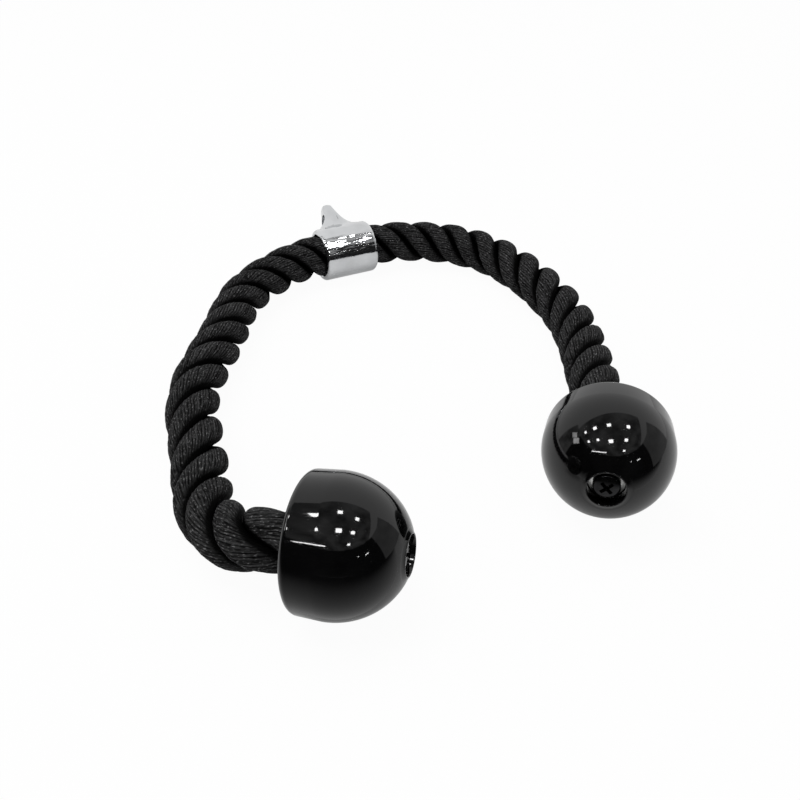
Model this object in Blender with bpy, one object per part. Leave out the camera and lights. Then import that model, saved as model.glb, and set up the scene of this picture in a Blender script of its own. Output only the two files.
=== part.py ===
"""Triceps rope attachment: a thick laid rope through a plated collar with an eye, and a ball end on each rope end.

It lies as it does on a table: the two ball ends and the collar touch the table, and the rope hangs low between them.
X runs along the collar, +Y away from the grips, +Z up. Lengths are in metres, angles in degrees.
The collar turns on the rope. Each arm of the rope bends sideways just outside the collar.
A ball end is a turned plug with a deep bore for the rope. A screw through its nose runs into a nylon plug in the
heart of the rope, which spreads the strands against the bore.
"""

import math

import bmesh
import bpy
import numpy as np
from mathutils import Matrix, Vector

# Clearances and small working values
SEAT_GAP = 0.0003            # between pieces that touch on the real object
RUNNING_GAP = 0.0004         # between the rope and the collar that turns on it
CUT_OVERRUN = 0.0020         # how far a cutter passes the surface it cuts
WELD_DISTANCE = 0.000001

# Rope
ROPE_DIAMETER = 0.0275
ROPE_SIDES_RESOLUTION = 4    # twelve sides
ROPE_STEP = 0.0110           # spacing of the tube's rings along the rope
ROPE_SQUARE_END = 0.0015     # straight bit at each end of a tube
ROPE_FINE_STEP = 0.0005      # spacing at which a route is worked out

# Collar
COLLAR_X = 0.0298            # the collar's middle, from the middle of the whole object's box
COLLAR_Y = 0.1330
COLLAR_LENGTH = 0.0372
COLLAR_WALL = 0.00315
COLLAR_EDGE_RADIUS = 0.0023
COLLAR_MOUTH_FLARE = 0.0005
EYE_BORE = 0.0118            # across the eye's hole
EYE_RIM = 0.0067             # metal outside the hole, at the top of the eye
EYE_REACH = 0.0246           # from the rope's centre line to the centre of the eye's hole
EYE_HALF_WIDTH = 0.0068
EYE_HALF_THICKNESS = 0.0026
EYE_WEDGE = 0.0048           # how much thicker the eye is on each side at its foot than at its top
EYE_CROWN = 0.0008           # how far the top of the eye falls off towards its two edges
EYE_MOUTH_RADIUS = 0.1200    # curve of the hole's wall towards its two wide mouths
EYE_MOUTH_TURN = 6.2         # degrees of that curve
EYE_OFFSET = -0.0011         # the eye's middle, along the collar from the collar's middle
EYE_LEAN = 59.0              # degrees from upright, away from the grips
EYE_SPREAD_SHARE = 0.60      # how much wider the eye is at its foot, of its width at the top
FLANK_HOLLOW_SHARE = 0.46    # power of the flank's curve: 1 is straight, less is more hollow
SHOULDER_POWER = 4.2         # steepness of the eye's sides seen along the rope
SHOULDER_TAIL_SHARE = 0.012  # of the eye's height: a side lower than this is left out, so the tube stays round

# Bends beside the collar
BEND_START = 0.0210          # from the collar's middle to the start of a bending section
BEND_LENGTH = 0.0161

# Ball ends
BALL_DIAMETER = 0.0600
BALL_DRUM_LENGTH = 0.0135    # from the flat back to the widest place
BALL_DOME_LENGTH = 0.0320    # from the widest place to the tip of the full dome
BALL_BACK_SHARE = 0.98       # radius at the back, of the widest radius
BALL_EDGE_RADIUS = 0.0032
BALL_BORE_DEPTH = 0.0319
BALL_BORE_CHAMFER = 0.0010
BALL_WEB = 0.0055            # wall between the bore and the recess
LIP_RADIUS = 0.0087          # crest of the lip round the recess
LIP_WIDTH = 0.0006
LIP_HEIGHT = 0.0003          # crest above the dome
LIP_FOOT_RADIUS = 0.0112     # where the lip's hollow foot leaves the dome
LIP_FOOT_POWER = 1.3         # hollowness of that foot: 1 is straight
RECESS_MOUTH_RADIUS = 0.0084
RECESS_FLOOR_RADIUS = 0.0061
RECESS_CONE_DEPTH = 0.0031
SCREW_HOLE_RADIUS = 0.0029

# Places of the ball ends: the widest place's centre from the collar's middle, and where the nose points
LEFT_BALL_X = -0.1163
LEFT_BALL_Y = -0.2676
LEFT_BALL_HEADING = -40.4
LEFT_BALL_TILT = 4.0
RIGHT_BALL_X = 0.0175
RIGHT_BALL_Y = -0.2676
RIGHT_BALL_HEADING = -129.5
RIGHT_BALL_TILT = 5.4
ROPE_LEAD = 0.0040           # straight rope behind each ball end

# Screw, washer, plug and whipping
SCREW_HEAD_RADIUS = 0.0050
SCREW_HEAD_HEIGHT = 0.0030
SCREW_HEAD_EDGE = 0.0010     # straight side of the head below its dome
SCREW_SHANK_RADIUS = 0.0025
SCREW_SHANK_LENGTH = 0.0250
SCREW_POINT_LENGTH = 0.0040
SLOT_WIDTH = 0.0015
SLOT_SPAN = 0.0058
SLOT_DEPTH = 0.0020
SLOT_TAPER_SHARE = 0.55      # size of the slot's floor, of its mouth
SLOT_TURN = 45.0
WASHER_RADIUS = 0.0057
WASHER_THICKNESS = 0.0009
PLUG_RADIUS = 0.0048
PLUG_LENGTH = 0.0215
PLUG_TAPER_SHARE = 0.72      # radius of the plug's inner end, of its full radius
WHIPPING_LENGTH = 0.0120
WHIPPING_THICKNESS = 0.0006

# Routes of the two rope arms from the collar outwards: x and y from the collar's middle, and lift off the table.
# The points follow the photographed rope. The last one lies just behind the ball end, and where a ball end is moved
# the route is led after it.
LEFT_ROUTE = [
    (-0.0535, -0.0083, 0.0020),
    (-0.0708, -0.0187, 0.0013),
    (-0.0857, -0.0337, 0.0009),
    (-0.0983, -0.0537, 0.0007),
    (-0.1104, -0.0743, 0.0006),
    (-0.1229, -0.0934, 0.0006),
    (-0.1337, -0.1122, 0.0006),
    (-0.1412, -0.1327, 0.0006),
    (-0.1454, -0.1537, 0.0006),
    (-0.1489, -0.1738, 0.0006),
    (-0.1526, -0.1928, 0.0007),
    (-0.1548, -0.2120, 0.0014),
    (-0.1519, -0.2295, 0.0045),
    (-0.1417, -0.2464, 0.0108),
    (-0.1296, -0.2563, 0.0151),
]
RIGHT_ROUTE = [
    (0.0518, -0.0069, 0.0026),
    (0.0673, -0.0157, 0.0020),
    (0.0793, -0.0275, 0.0015),
    (0.0884, -0.0430, 0.0011),
    (0.0939, -0.0641, 0.0008),
    (0.0957, -0.0876, 0.0006),
    (0.0939, -0.1126, 0.0006),
    (0.0885, -0.1396, 0.0008),
    (0.0780, -0.1665, 0.0016),
    (0.0640, -0.1930, 0.0038),
    (0.0521, -0.2135, 0.0072),
    (0.0416, -0.2329, 0.0114),
    (0.0286, -0.2542, 0.0149),
]

# Facets
COLLAR_FLANK_RINGS = 8
COLLAR_EDGE_RINGS = 3
BALL_STEPS = 40
SMALL_STEPS = 24
ARC_STEPS = 5
DOME_STEPS = 12

# Worked out from the sizes above
ROPE_RADIUS = ROPE_DIAMETER / 2
COLLAR_BORE_RADIUS = ROPE_RADIUS + RUNNING_GAP
COLLAR_RADIUS = COLLAR_BORE_RADIUS + COLLAR_WALL
EYE_HEIGHT = EYE_REACH + EYE_BORE / 2 + EYE_RIM - COLLAR_RADIUS
BALL_RADIUS = BALL_DIAMETER / 2
BALL_BORE_RADIUS = ROPE_RADIUS + SEAT_GAP
RECESS_FLOOR = BALL_BORE_DEPTH + BALL_WEB
SCREW_SEAT = RECESS_FLOOR + WASHER_THICKNESS + 2 * SEAT_GAP
SCREW_BORE_RADIUS = SCREW_SHANK_RADIUS + SEAT_GAP
SHARP_ANGLE = 32.0


def clear_scene():
    """Removes the objects of the opened scene."""
    for item in list(bpy.data.objects):
        bpy.data.objects.remove(item, do_unlink=True)


def finish_of(name, colour, roughness, metallic):
    """A plain Principled material."""
    made = bpy.data.materials.new(name)
    made.use_nodes = True
    shader = made.node_tree.nodes["Principled BSDF"]
    shader.inputs["Base Color"].default_value = (*colour, 1)
    shader.inputs["Roughness"].default_value = roughness
    shader.inputs["Metallic"].default_value = metallic
    made.diffuse_color = (*colour, 1)
    return made


def add_object(name, mesh, finish, place=None):
    """Links a mesh as a named object with its finish."""
    item = bpy.data.objects.new(name, mesh)
    item.data.materials.append(finish)
    bpy.context.scene.collection.objects.link(item)
    if place is not None:
        item.matrix_world = place
    return item


def mesh_from(bm, name):
    """Turns a bmesh into a mesh that is smooth between its real edges."""
    bmesh.ops.recalc_face_normals(bm, faces=bm.faces)
    if bm.calc_volume(signed=True) < 0:
        bmesh.ops.reverse_faces(bm, faces=bm.faces)
    mesh = bpy.data.meshes.new(name)
    bm.to_mesh(mesh)
    bm.free()
    mesh.shade_smooth()
    mesh.set_sharp_from_angle(angle=math.radians(SHARP_ANGLE))
    return mesh


def arc(centre, radius, start, end, steps):
    """Points on a circle in the profile's plane, angles in degrees."""
    return [(centre[0] + radius * math.cos(math.radians(a)), centre[1] + radius * math.sin(math.radians(a)))
            for a in np.linspace(start, end, steps + 1)]


def turned(name, profile, steps, closed):
    """Spins a profile of (radius, height) points round the local Z axis.

    A closed profile makes a ring. An open one starts and ends on the axis.
    """
    bm = bmesh.new()
    verts = [bm.verts.new((radius, 0, height)) for radius, height in profile]
    edges = [bm.edges.new(pair) for pair in zip(verts, verts[1:])]
    if closed:
        edges.append(bm.edges.new((verts[-1], verts[0])))
    bmesh.ops.spin(bm, geom=verts + edges, axis=(0, 0, 1), cent=(0, 0, 0), angle=2 * math.pi, steps=steps)
    bmesh.ops.remove_doubles(bm, verts=bm.verts, dist=WELD_DISTANCE)
    return mesh_from(bm, name)


def spline(points, first, last, step):
    """Even points on a smooth cubic curve through the given points, with a chosen direction at each end.

    Each span is a cubic, and the slopes are solved so that the curvature runs on through every point.
    """
    points = np.array(points)
    chord = np.linalg.norm(np.diff(points, axis=0), axis=1)
    at = np.concatenate([[0], np.cumsum(chord)])
    count = len(points)
    system = np.zeros((count, count))
    wanted = np.zeros((count, 3))
    system[0, 0] = system[-1, -1] = 1
    wanted[0] = first
    wanted[-1] = last
    for i in range(1, count - 1):
        before, after = chord[i - 1], chord[i]
        system[i, i - 1:i + 2] = after, 2 * (before + after), before
        wanted[i] = 3 * (after * (points[i] - points[i - 1]) / before + before * (points[i + 1] - points[i]) / after)
    slope = np.linalg.solve(system, wanted)

    def read(where):
        i = np.clip(np.searchsorted(at, where, side="right") - 1, 0, count - 2)
        width = chord[i][:, None]
        t = (where - at[i])[:, None] / width
        return ((2 * t ** 3 - 3 * t ** 2 + 1) * points[i] + (t ** 3 - 2 * t ** 2 + t) * width * slope[i]
                + (3 * t ** 2 - 2 * t ** 3) * points[i + 1] + (t ** 3 - t ** 2) * width * slope[i + 1])

    fine = read(np.linspace(0, at[-1], 40 * count))
    run = np.concatenate([[0], np.cumsum(np.linalg.norm(np.diff(fine, axis=0), axis=1))])
    places = np.linspace(0, run[-1], max(3, round(run[-1] / step) + 1))
    return np.stack([np.interp(places, run, fine[:, k]) for k in range(3)], axis=1)


def tube(name, points, finish):
    """A plain round length of rope along the points, with closed ends."""
    curve = bpy.data.curves.new(name, "CURVE")
    curve.dimensions = "3D"
    curve.bevel_depth = ROPE_RADIUS
    curve.bevel_resolution = ROPE_SIDES_RESOLUTION
    curve.use_fill_caps = True
    line = curve.splines.new("POLY")
    line.points.add(len(points) - 1)
    for point, place in zip(line.points, points):
        point.co = (*place, 1)
    line.use_smooth = True
    return add_object(name, curve, finish)


def ball_matrix(x, y, heading, tilt):
    """Where a ball end lies: local Z runs from its flat back to its nose.

    Its widest ring or the edge of its back touches the table, whichever is lower at this tilt.
    """
    back = math.cos(math.radians(tilt)) * (BALL_BACK_SHARE * BALL_RADIUS - BALL_EDGE_RADIUS)
    back += math.sin(math.radians(tilt)) * (BALL_DRUM_LENGTH - BALL_EDGE_RADIUS) + BALL_EDGE_RADIUS
    lift = max(back, BALL_RADIUS * math.cos(math.radians(tilt)))
    centre = Vector((COLLAR_X + x, COLLAR_Y + y, lift))
    turn = Matrix.Rotation(math.radians(heading), 4, "Z") @ Matrix.Rotation(math.radians(90 - tilt), 4, "Y")
    nose = turn @ Vector((0, 0, 1))
    return Matrix.Translation(centre - nose * BALL_DRUM_LENGTH) @ turn


def dome_height(radius):
    """Height of the dome over the flat back at a given radius: half an ellipse."""
    return BALL_DRUM_LENGTH + BALL_DOME_LENGTH * math.sqrt(1 - (radius / BALL_RADIUS) ** 2)


def ball_profile():
    """Outline of half a ball end, from its back round the dome and the lip, down the recess and back up the bore."""
    back_radius = BALL_BACK_SHARE * BALL_RADIUS
    points = [(BALL_BORE_RADIUS + BALL_BORE_CHAMFER, 0)]
    points += arc((back_radius - BALL_EDGE_RADIUS, BALL_EDGE_RADIUS), BALL_EDGE_RADIUS, -90, 0, ARC_STEPS)
    foot = math.acos(LIP_FOOT_RADIUS / BALL_RADIUS)
    for angle in np.linspace(0, foot, DOME_STEPS + 1):
        points.append((BALL_RADIUS * math.cos(angle), BALL_DRUM_LENGTH + BALL_DOME_LENGTH * math.sin(angle)))
    crest = dome_height(LIP_RADIUS) + LIP_HEIGHT
    outer = LIP_RADIUS + LIP_WIDTH / 2
    start = dome_height(LIP_FOOT_RADIUS)
    for share in np.linspace(0, 1, ARC_STEPS + 1)[1:-1]:
        radius = LIP_FOOT_RADIUS + (outer - LIP_FOOT_RADIUS) * share
        points.append((radius, start + (crest - LIP_WIDTH / 4 - start) * share ** LIP_FOOT_POWER))
    points += [(outer, crest - LIP_WIDTH / 4), (LIP_RADIUS, crest)]
    points.append((RECESS_MOUTH_RADIUS, crest - LIP_WIDTH / 4))
    points.append((RECESS_FLOOR_RADIUS, crest - RECESS_CONE_DEPTH))
    points.append((RECESS_FLOOR_RADIUS, RECESS_FLOOR))
    points += [(SCREW_HOLE_RADIUS, RECESS_FLOOR), (SCREW_HOLE_RADIUS, BALL_BORE_DEPTH)]
    points += [(BALL_BORE_RADIUS, BALL_BORE_DEPTH), (BALL_BORE_RADIUS, BALL_BORE_CHAMFER)]
    return points


def screw_mesh(name):
    """A pan head screw, point down the local -Z axis, with its head's seat at height zero."""
    drop = SCREW_HEAD_HEIGHT - SCREW_HEAD_EDGE
    profile = [(0, SCREW_HEAD_HEIGHT)]
    for angle in np.linspace(90, 0, ARC_STEPS + 2)[1:]:
        turn = math.radians(angle)
        profile.append((SCREW_HEAD_RADIUS * math.cos(turn), SCREW_HEAD_EDGE + drop * math.sin(turn)))
    profile += [(SCREW_HEAD_RADIUS, 0), (SCREW_SHANK_RADIUS, 0)]
    profile += [(SCREW_SHANK_RADIUS, SCREW_POINT_LENGTH - SCREW_SHANK_LENGTH), (0, -SCREW_SHANK_LENGTH)]
    return turned(name, profile, SMALL_STEPS, closed=False)


def slot_cutter(name):
    """One tapered arm of the driver's cross, mouth above the screw's head."""
    bm = bmesh.new()
    bmesh.ops.create_cube(bm, size=1)
    top = SCREW_HEAD_HEIGHT + CUT_OVERRUN
    bottom = SCREW_HEAD_HEIGHT - SLOT_DEPTH
    for vert in bm.verts:
        share = 1 if vert.co.z > 0 else SLOT_TAPER_SHARE
        vert.co.x *= SLOT_SPAN * share
        vert.co.y *= SLOT_WIDTH * share
        vert.co.z = top if vert.co.z > 0 else bottom
    return mesh_from(bm, name)


def cut(item, cutter):
    """Cuts one object from another and keeps the cutter as a guide."""
    cutter.hide_render = True
    cutter.display_type = "WIRE"
    step = item.modifiers.new("cut", "BOOLEAN")
    step.operation = "DIFFERENCE"
    step.solver = "EXACT"
    step.object = cutter


def flank(share):
    """Distance past the eye's edge and height of its flank, each as a share, at a share of the flank's run.

    The curve is a hollow superellipse: the shares raised to the flank's power add up to one.
    """
    angle = share * math.pi / 2
    return math.sin(angle) ** (2 / FLANK_HOLLOW_SHARE), math.cos(angle) ** (2 / FLANK_HOLLOW_SHARE)


def collar_stations():
    """(place along the collar, outer radius, height of the eye's ridge) from one end to the other."""
    half = COLLAR_LENGTH / 2
    run = half - EYE_HALF_THICKNESS
    top = EYE_HEIGHT - EYE_CROWN
    right = [(0, COLLAR_RADIUS, EYE_HEIGHT), (EYE_HALF_THICKNESS / 2, COLLAR_RADIUS, EYE_HEIGHT - EYE_CROWN / 4)]
    ridge = []
    for share in np.linspace(0, 1, COLLAR_FLANK_RINGS + 1):
        along, up = flank(share)
        ridge.append((EYE_HALF_THICKNESS + EYE_WEDGE * (1 - up) + (run - EYE_WEDGE) * along, top * up))
    round_start = half - COLLAR_EDGE_RADIUS
    right += [(x, COLLAR_RADIUS, height) for x, height in ridge if x < round_start]
    for angle in np.linspace(0, 90, COLLAR_EDGE_RINGS + 1):
        turn = math.radians(angle)
        x = round_start + COLLAR_EDGE_RADIUS * math.sin(turn)
        radius = COLLAR_RADIUS - COLLAR_EDGE_RADIUS * (1 - math.cos(turn))
        height = np.interp(x, [place for place, _ in ridge], [height for _, height in ridge])
        right.append((x, radius, height))
    both = [(-x, radius, height) for x, radius, height in reversed(right[1:])] + right
    return [(x + EYE_OFFSET * (1 - abs(x) / half), radius, height) for x, radius, height in both]


def collar_angles():
    """Angles round the rope from the eye's middle, close together where the eye's sides are steep."""
    lug = math.asin(EYE_HALF_WIDTH / EYE_REACH)
    near = [lug * share for share in (0, 0.22, 0.44, 0.62, 0.77, 0.90, 1.03, 1.18, 1.36, 1.6, 1.95, 2.5)]
    far = list(np.linspace(near[-1], math.pi, 13)[1:])
    side = near + far
    return side + [2 * math.pi - angle for angle in reversed(side[1:-1])]


def collar_mesh(name):
    """A tube with rounded ends whose wall rises into a ridge with a tall eye at mid length.

    Seen along the rope the ridge's height falls off as 1 / (1 + (angle / half angle) ^ power), down to nothing.
    The half angle grows towards the ridge's low ends.
    """
    lug = math.asin(EYE_HALF_WIDTH / EYE_REACH)
    angles = collar_angles()
    rings = []
    for x, radius, height in collar_stations():
        half_angle = lug * (1 + EYE_SPREAD_SHARE * (1 - height / EYE_HEIGHT))
        ring = []
        for angle in angles:
            from_eye = min(angle, 2 * math.pi - angle)
            rise = 1 / (1 + (from_eye / half_angle) ** SHOULDER_POWER) - SHOULDER_TAIL_SHARE
            reach = radius + height * max(0, rise) / (1 - SHOULDER_TAIL_SHARE)
            ring.append((x, reach * math.sin(angle), reach * math.cos(angle)))
        rings.append(ring)
    half = COLLAR_LENGTH / 2
    bore = [(half, COLLAR_MOUTH_FLARE), (half - COLLAR_MOUTH_FLARE, COLLAR_MOUTH_FLARE / 3),
            (half - 2 * COLLAR_MOUTH_FLARE, 0)]
    bore += [(-x, flare) for x, flare in reversed(bore)]
    for x, flare in bore:
        reach = COLLAR_BORE_RADIUS + flare
        rings.append([(x, reach * math.sin(angle), reach * math.cos(angle)) for angle in angles])
    bm = bmesh.new()
    loops = [[bm.verts.new(point) for point in ring] for ring in rings]
    count = len(angles)
    for lower, upper in zip(loops, loops[1:] + loops[:1]):
        for i in range(count):
            j = (i + 1) % count
            bm.faces.new((lower[i], lower[j], upper[j], upper[i]))
    return mesh_from(bm, name)


def eye_cutter(name):
    """The eye's hole: round in the middle and flared at both faces, along the local Z axis."""
    radius = EYE_BORE / 2
    centre = (radius + EYE_MOUTH_RADIUS, EYE_HALF_THICKNESS / 2)
    side = arc(centre, EYE_MOUTH_RADIUS, 180, 180 - EYE_MOUTH_TURN, ARC_STEPS)
    side.append((0, side[-1][1]))
    profile = [(r, -h) for r, h in reversed(side)] + side
    return turned(name, profile, SMALL_STEPS, closed=False)


def make_collar(finish):
    """The plated collar with its eye, its origin on the rope's centre line."""
    lean = Matrix.Rotation(math.radians(-EYE_LEAN), 4, "X")
    place = Matrix.Translation((COLLAR_X, COLLAR_Y, COLLAR_RADIUS)) @ lean
    collar = add_object("collar_with_eye", collar_mesh("collar_with_eye"), finish, place)
    along = Matrix.Translation((EYE_OFFSET, 0, EYE_REACH)) @ Matrix.Rotation(math.radians(90), 4, "Y")
    cutter = add_object("eye_cutter", eye_cutter("eye_cutter"), finish, place @ along)
    cut(collar, cutter)


def make_ball(side, place, plastic, black, steel, nylon, tape, fibre):
    """A ball end with everything in it: the rope's end, its whipping, the plug, the washer and the screw."""
    ball = turned("ball_" + side, ball_profile(), BALL_STEPS, closed=True)
    add_object("ball_" + side, ball, plastic, place)

    washer = [(SCREW_BORE_RADIUS, 0), (WASHER_RADIUS, 0), (WASHER_RADIUS, WASHER_THICKNESS),
              (SCREW_BORE_RADIUS, WASHER_THICKNESS)]
    seat = place @ Matrix.Translation((0, 0, RECESS_FLOOR + SEAT_GAP))
    add_object("washer_" + side, turned("washer_" + side, washer, SMALL_STEPS, closed=True), steel, seat)

    seat = place @ Matrix.Translation((0, 0, SCREW_SEAT))
    screw = add_object("screw_" + side, screw_mesh("screw_" + side), black, seat)
    for turn in (SLOT_TURN, SLOT_TURN + 90):
        cross = seat @ Matrix.Rotation(math.radians(turn), 4, "Z")
        name = f"slot_cutter_{side}_{turn:.0f}"
        cut(screw, add_object(name, slot_cutter(name), black, cross))

    top = BALL_BORE_DEPTH - SEAT_GAP
    bottom = top - PLUG_LENGTH
    narrow = PLUG_RADIUS * PLUG_TAPER_SHARE
    plug = [(SCREW_BORE_RADIUS, bottom), (narrow, bottom), (PLUG_RADIUS, (bottom + top) / 2), (PLUG_RADIUS, top),
            (SCREW_BORE_RADIUS, top)]
    add_object("plug_" + side, turned("plug_" + side, plug, SMALL_STEPS, closed=True), nylon, place)

    heart = PLUG_RADIUS + SEAT_GAP
    squeezed = ROPE_RADIUS - WHIPPING_THICKNESS - SEAT_GAP
    band_start = top - WHIPPING_LENGTH
    tip = bottom - SEAT_GAP
    rope_end = [(0, SEAT_GAP / 2), (ROPE_RADIUS, SEAT_GAP / 2), (ROPE_RADIUS, band_start - SEAT_GAP),
                (squeezed, band_start - SEAT_GAP), (squeezed, top), (heart, top), (heart, (bottom + top) / 2),
                (narrow + SEAT_GAP, tip), (0, tip)]
    add_object(f"rope_{side}_end", turned(f"rope_{side}_end", rope_end, SMALL_STEPS, closed=False), fibre, place)

    band = [(ROPE_RADIUS - WHIPPING_THICKNESS, band_start), (ROPE_RADIUS, band_start), (ROPE_RADIUS, top),
            (ROPE_RADIUS - WHIPPING_THICKNESS, top)]
    add_object("whipping_" + side, turned("whipping_" + side, band, SMALL_STEPS, closed=True), tape, place)


def led_to(points, end):
    """Moves a route so that its last point lands on a given one. The points before it follow less and less."""
    points = np.array(points)
    run = np.concatenate([[0], np.cumsum(np.linalg.norm(np.diff(points, axis=0), axis=1))])
    share = run / run[-1]
    return points + (share ** 2 * (3 - 2 * share))[:, None] * (np.array(end) - points[-1])


def arm_points(route, toward, place):
    """The arm's route from the collar's side, along the chosen points, and straight into the ball end."""
    start = (COLLAR_X + toward * BEND_START, COLLAR_Y, COLLAR_RADIUS)
    chosen = [(COLLAR_X + x, COLLAR_Y + y, ROPE_RADIUS + lift) for x, y, lift in route]
    nose = (place.to_3x3() @ Vector((0, 0, 1))).normalized()
    end = place @ Vector((0, 0, -ROPE_LEAD))
    curved = spline(led_to([start, *chosen], end), (toward, 0, 0), tuple(nose), ROPE_FINE_STEP)
    back = place @ Vector((0, 0, -SEAT_GAP / 2))
    return np.vstack([curved, np.array(back)])


def stretch(points, start, end):
    """The part of a route between two distances along it, at the rope's spacing.

    Its first and last bits are straight, so that its closed ends stand square to the route.
    """
    run = np.concatenate([[0], np.cumsum(np.linalg.norm(np.diff(points, axis=0), axis=1))])
    end = run[-1] - end if end <= 0 else end
    inner = max(2, round((end - start) / ROPE_STEP) + 1)
    places = np.linspace(start + ROPE_SQUARE_END, end - ROPE_SQUARE_END, inner)
    made = np.stack([np.interp(places, run, points[:, k]) for k in range(3)], axis=1)
    ends = []
    for place, side in ((start, 1), (end, -1)):
        near = np.array([np.interp([place, place + side * ROPE_FINE_STEP], run, points[:, k]) for k in range(3)])
        ends.append(near[:, 0])
        way = near[:, 1] - near[:, 0]
        made[0 if side > 0 else -1] = near[:, 0] + way / np.linalg.norm(way) * ROPE_SQUARE_END
    return np.vstack([ends[0], made, ends[1]])


def make_arm(side, toward, route, place, fibre):
    """The bending section beside the collar and the free arm up to the ball end."""
    points = arm_points(route, toward, place)
    bend = stretch(points, SEAT_GAP, BEND_LENGTH - SEAT_GAP)
    tube(f"rope_{side}_bend", bend, fibre)
    tube(f"rope_{side}_arm", stretch(points, BEND_LENGTH, 0), fibre)


def main():
    """Builds the whole attachment."""
    clear_scene()
    fibre = finish_of("rope_fibre", (0.018, 0.018, 0.019), 0.85, 0)
    chrome = finish_of("chrome_plate", (0.80, 0.81, 0.82), 0.08, 1)
    plastic = finish_of("ball_plastic", (0.008, 0.008, 0.009), 0.10, 0)
    black = finish_of("black_screw", (0.015, 0.015, 0.016), 0.18, 0.9)
    steel = finish_of("washer_steel", (0.30, 0.30, 0.31), 0.35, 1)
    nylon = finish_of("plug_nylon", (0.72, 0.70, 0.64), 0.5, 0)
    tape = finish_of("whipping_tape", (0.03, 0.03, 0.032), 0.5, 0)

    make_collar(chrome)
    middle = [(COLLAR_X + x, COLLAR_Y, COLLAR_RADIUS) for x in (-BEND_START, 0, BEND_START)]
    tube("rope_centre", middle, fibre)
    places = {
        "left": ball_matrix(LEFT_BALL_X, LEFT_BALL_Y, LEFT_BALL_HEADING, LEFT_BALL_TILT),
        "right": ball_matrix(RIGHT_BALL_X, RIGHT_BALL_Y, RIGHT_BALL_HEADING, RIGHT_BALL_TILT),
    }
    make_arm("left", -1, LEFT_ROUTE, places["left"], fibre)
    make_arm("right", 1, RIGHT_ROUTE, places["right"], fibre)
    for side, place in places.items():
        make_ball(side, place, plastic, black, steel, nylon, tape, fibre)
    bpy.context.view_layer.update()


main()
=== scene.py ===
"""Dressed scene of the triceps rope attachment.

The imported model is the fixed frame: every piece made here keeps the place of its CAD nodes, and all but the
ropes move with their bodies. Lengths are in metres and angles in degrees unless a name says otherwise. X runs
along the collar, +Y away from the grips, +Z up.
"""

import logging
import math
from dataclasses import dataclass
from enum import Enum

import bpy
import numpy as np
from mathutils import Matrix, Vector


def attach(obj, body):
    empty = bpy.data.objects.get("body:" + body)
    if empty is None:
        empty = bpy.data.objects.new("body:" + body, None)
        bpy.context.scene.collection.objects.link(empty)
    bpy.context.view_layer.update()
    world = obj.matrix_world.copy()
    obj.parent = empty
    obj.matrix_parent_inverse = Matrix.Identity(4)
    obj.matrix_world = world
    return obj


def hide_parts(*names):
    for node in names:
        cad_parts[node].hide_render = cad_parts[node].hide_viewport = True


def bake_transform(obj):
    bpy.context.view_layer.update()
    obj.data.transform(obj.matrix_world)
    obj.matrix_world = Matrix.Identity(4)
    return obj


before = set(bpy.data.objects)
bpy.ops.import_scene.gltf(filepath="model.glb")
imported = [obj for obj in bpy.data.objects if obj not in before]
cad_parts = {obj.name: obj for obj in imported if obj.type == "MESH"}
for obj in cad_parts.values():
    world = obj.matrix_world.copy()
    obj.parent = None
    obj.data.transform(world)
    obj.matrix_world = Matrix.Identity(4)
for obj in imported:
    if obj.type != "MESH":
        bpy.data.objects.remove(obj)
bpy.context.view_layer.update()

log = logging.getLogger("triceps_rope")

TURN = 2 * math.pi
WHITE = (1, 1, 1, 1)

# Sizes shared with the CAD source
ROPE_RADIUS = 0.01375
COLLAR_X = 0.0298
COLLAR_Y = 0.1330
COLLAR_RADIUS = 0.0173

# The rope's two arms as the CAD source has them: x, y from the collar's middle and lift off the table
LEFT_ROUTE = [
    (-0.0535, -0.0083, 0.0020),
    (-0.0708, -0.0187, 0.0013),
    (-0.0857, -0.0337, 0.0009),
    (-0.0983, -0.0537, 0.0007),
    (-0.1104, -0.0743, 0.0006),
    (-0.1229, -0.0934, 0.0006),
    (-0.1337, -0.1122, 0.0006),
    (-0.1412, -0.1327, 0.0006),
    (-0.1454, -0.1537, 0.0006),
    (-0.1489, -0.1738, 0.0006),
    (-0.1526, -0.1928, 0.0007),
    (-0.1548, -0.2120, 0.0014),
    (-0.1519, -0.2295, 0.0045),
    (-0.1417, -0.2464, 0.0108),
    (-0.1296, -0.2563, 0.0151),
]
RIGHT_ROUTE = [
    (0.0518, -0.0069, 0.0026),
    (0.0673, -0.0157, 0.0020),
    (0.0793, -0.0275, 0.0015),
    (0.0884, -0.0430, 0.0011),
    (0.0939, -0.0641, 0.0008),
    (0.0957, -0.0876, 0.0006),
    (0.0939, -0.1126, 0.0006),
    (0.0885, -0.1396, 0.0008),
    (0.0780, -0.1665, 0.0016),
    (0.0640, -0.1930, 0.0038),
    (0.0521, -0.2135, 0.0072),
    (0.0416, -0.2329, 0.0114),
    (0.0286, -0.2542, 0.0149),
]


class Side(Enum):
    """The two halves of the attachment, with the direction in which each leaves the collar."""

    LEFT = "left"
    RIGHT = "right"

    @property
    def toward(self) -> int:
        """-1 where the arm leaves the collar towards -X, 1 towards +X."""
        return -1 if self is Side.LEFT else 1

    @property
    def body(self) -> str:
        """The CAD body that the arm and its ball end ride on."""
        return f"{self.value}_arm"


class Shell(Enum):
    """How the ends of a grid of points are closed."""

    OPEN = 0
    RING = 1


# Meshes


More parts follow.
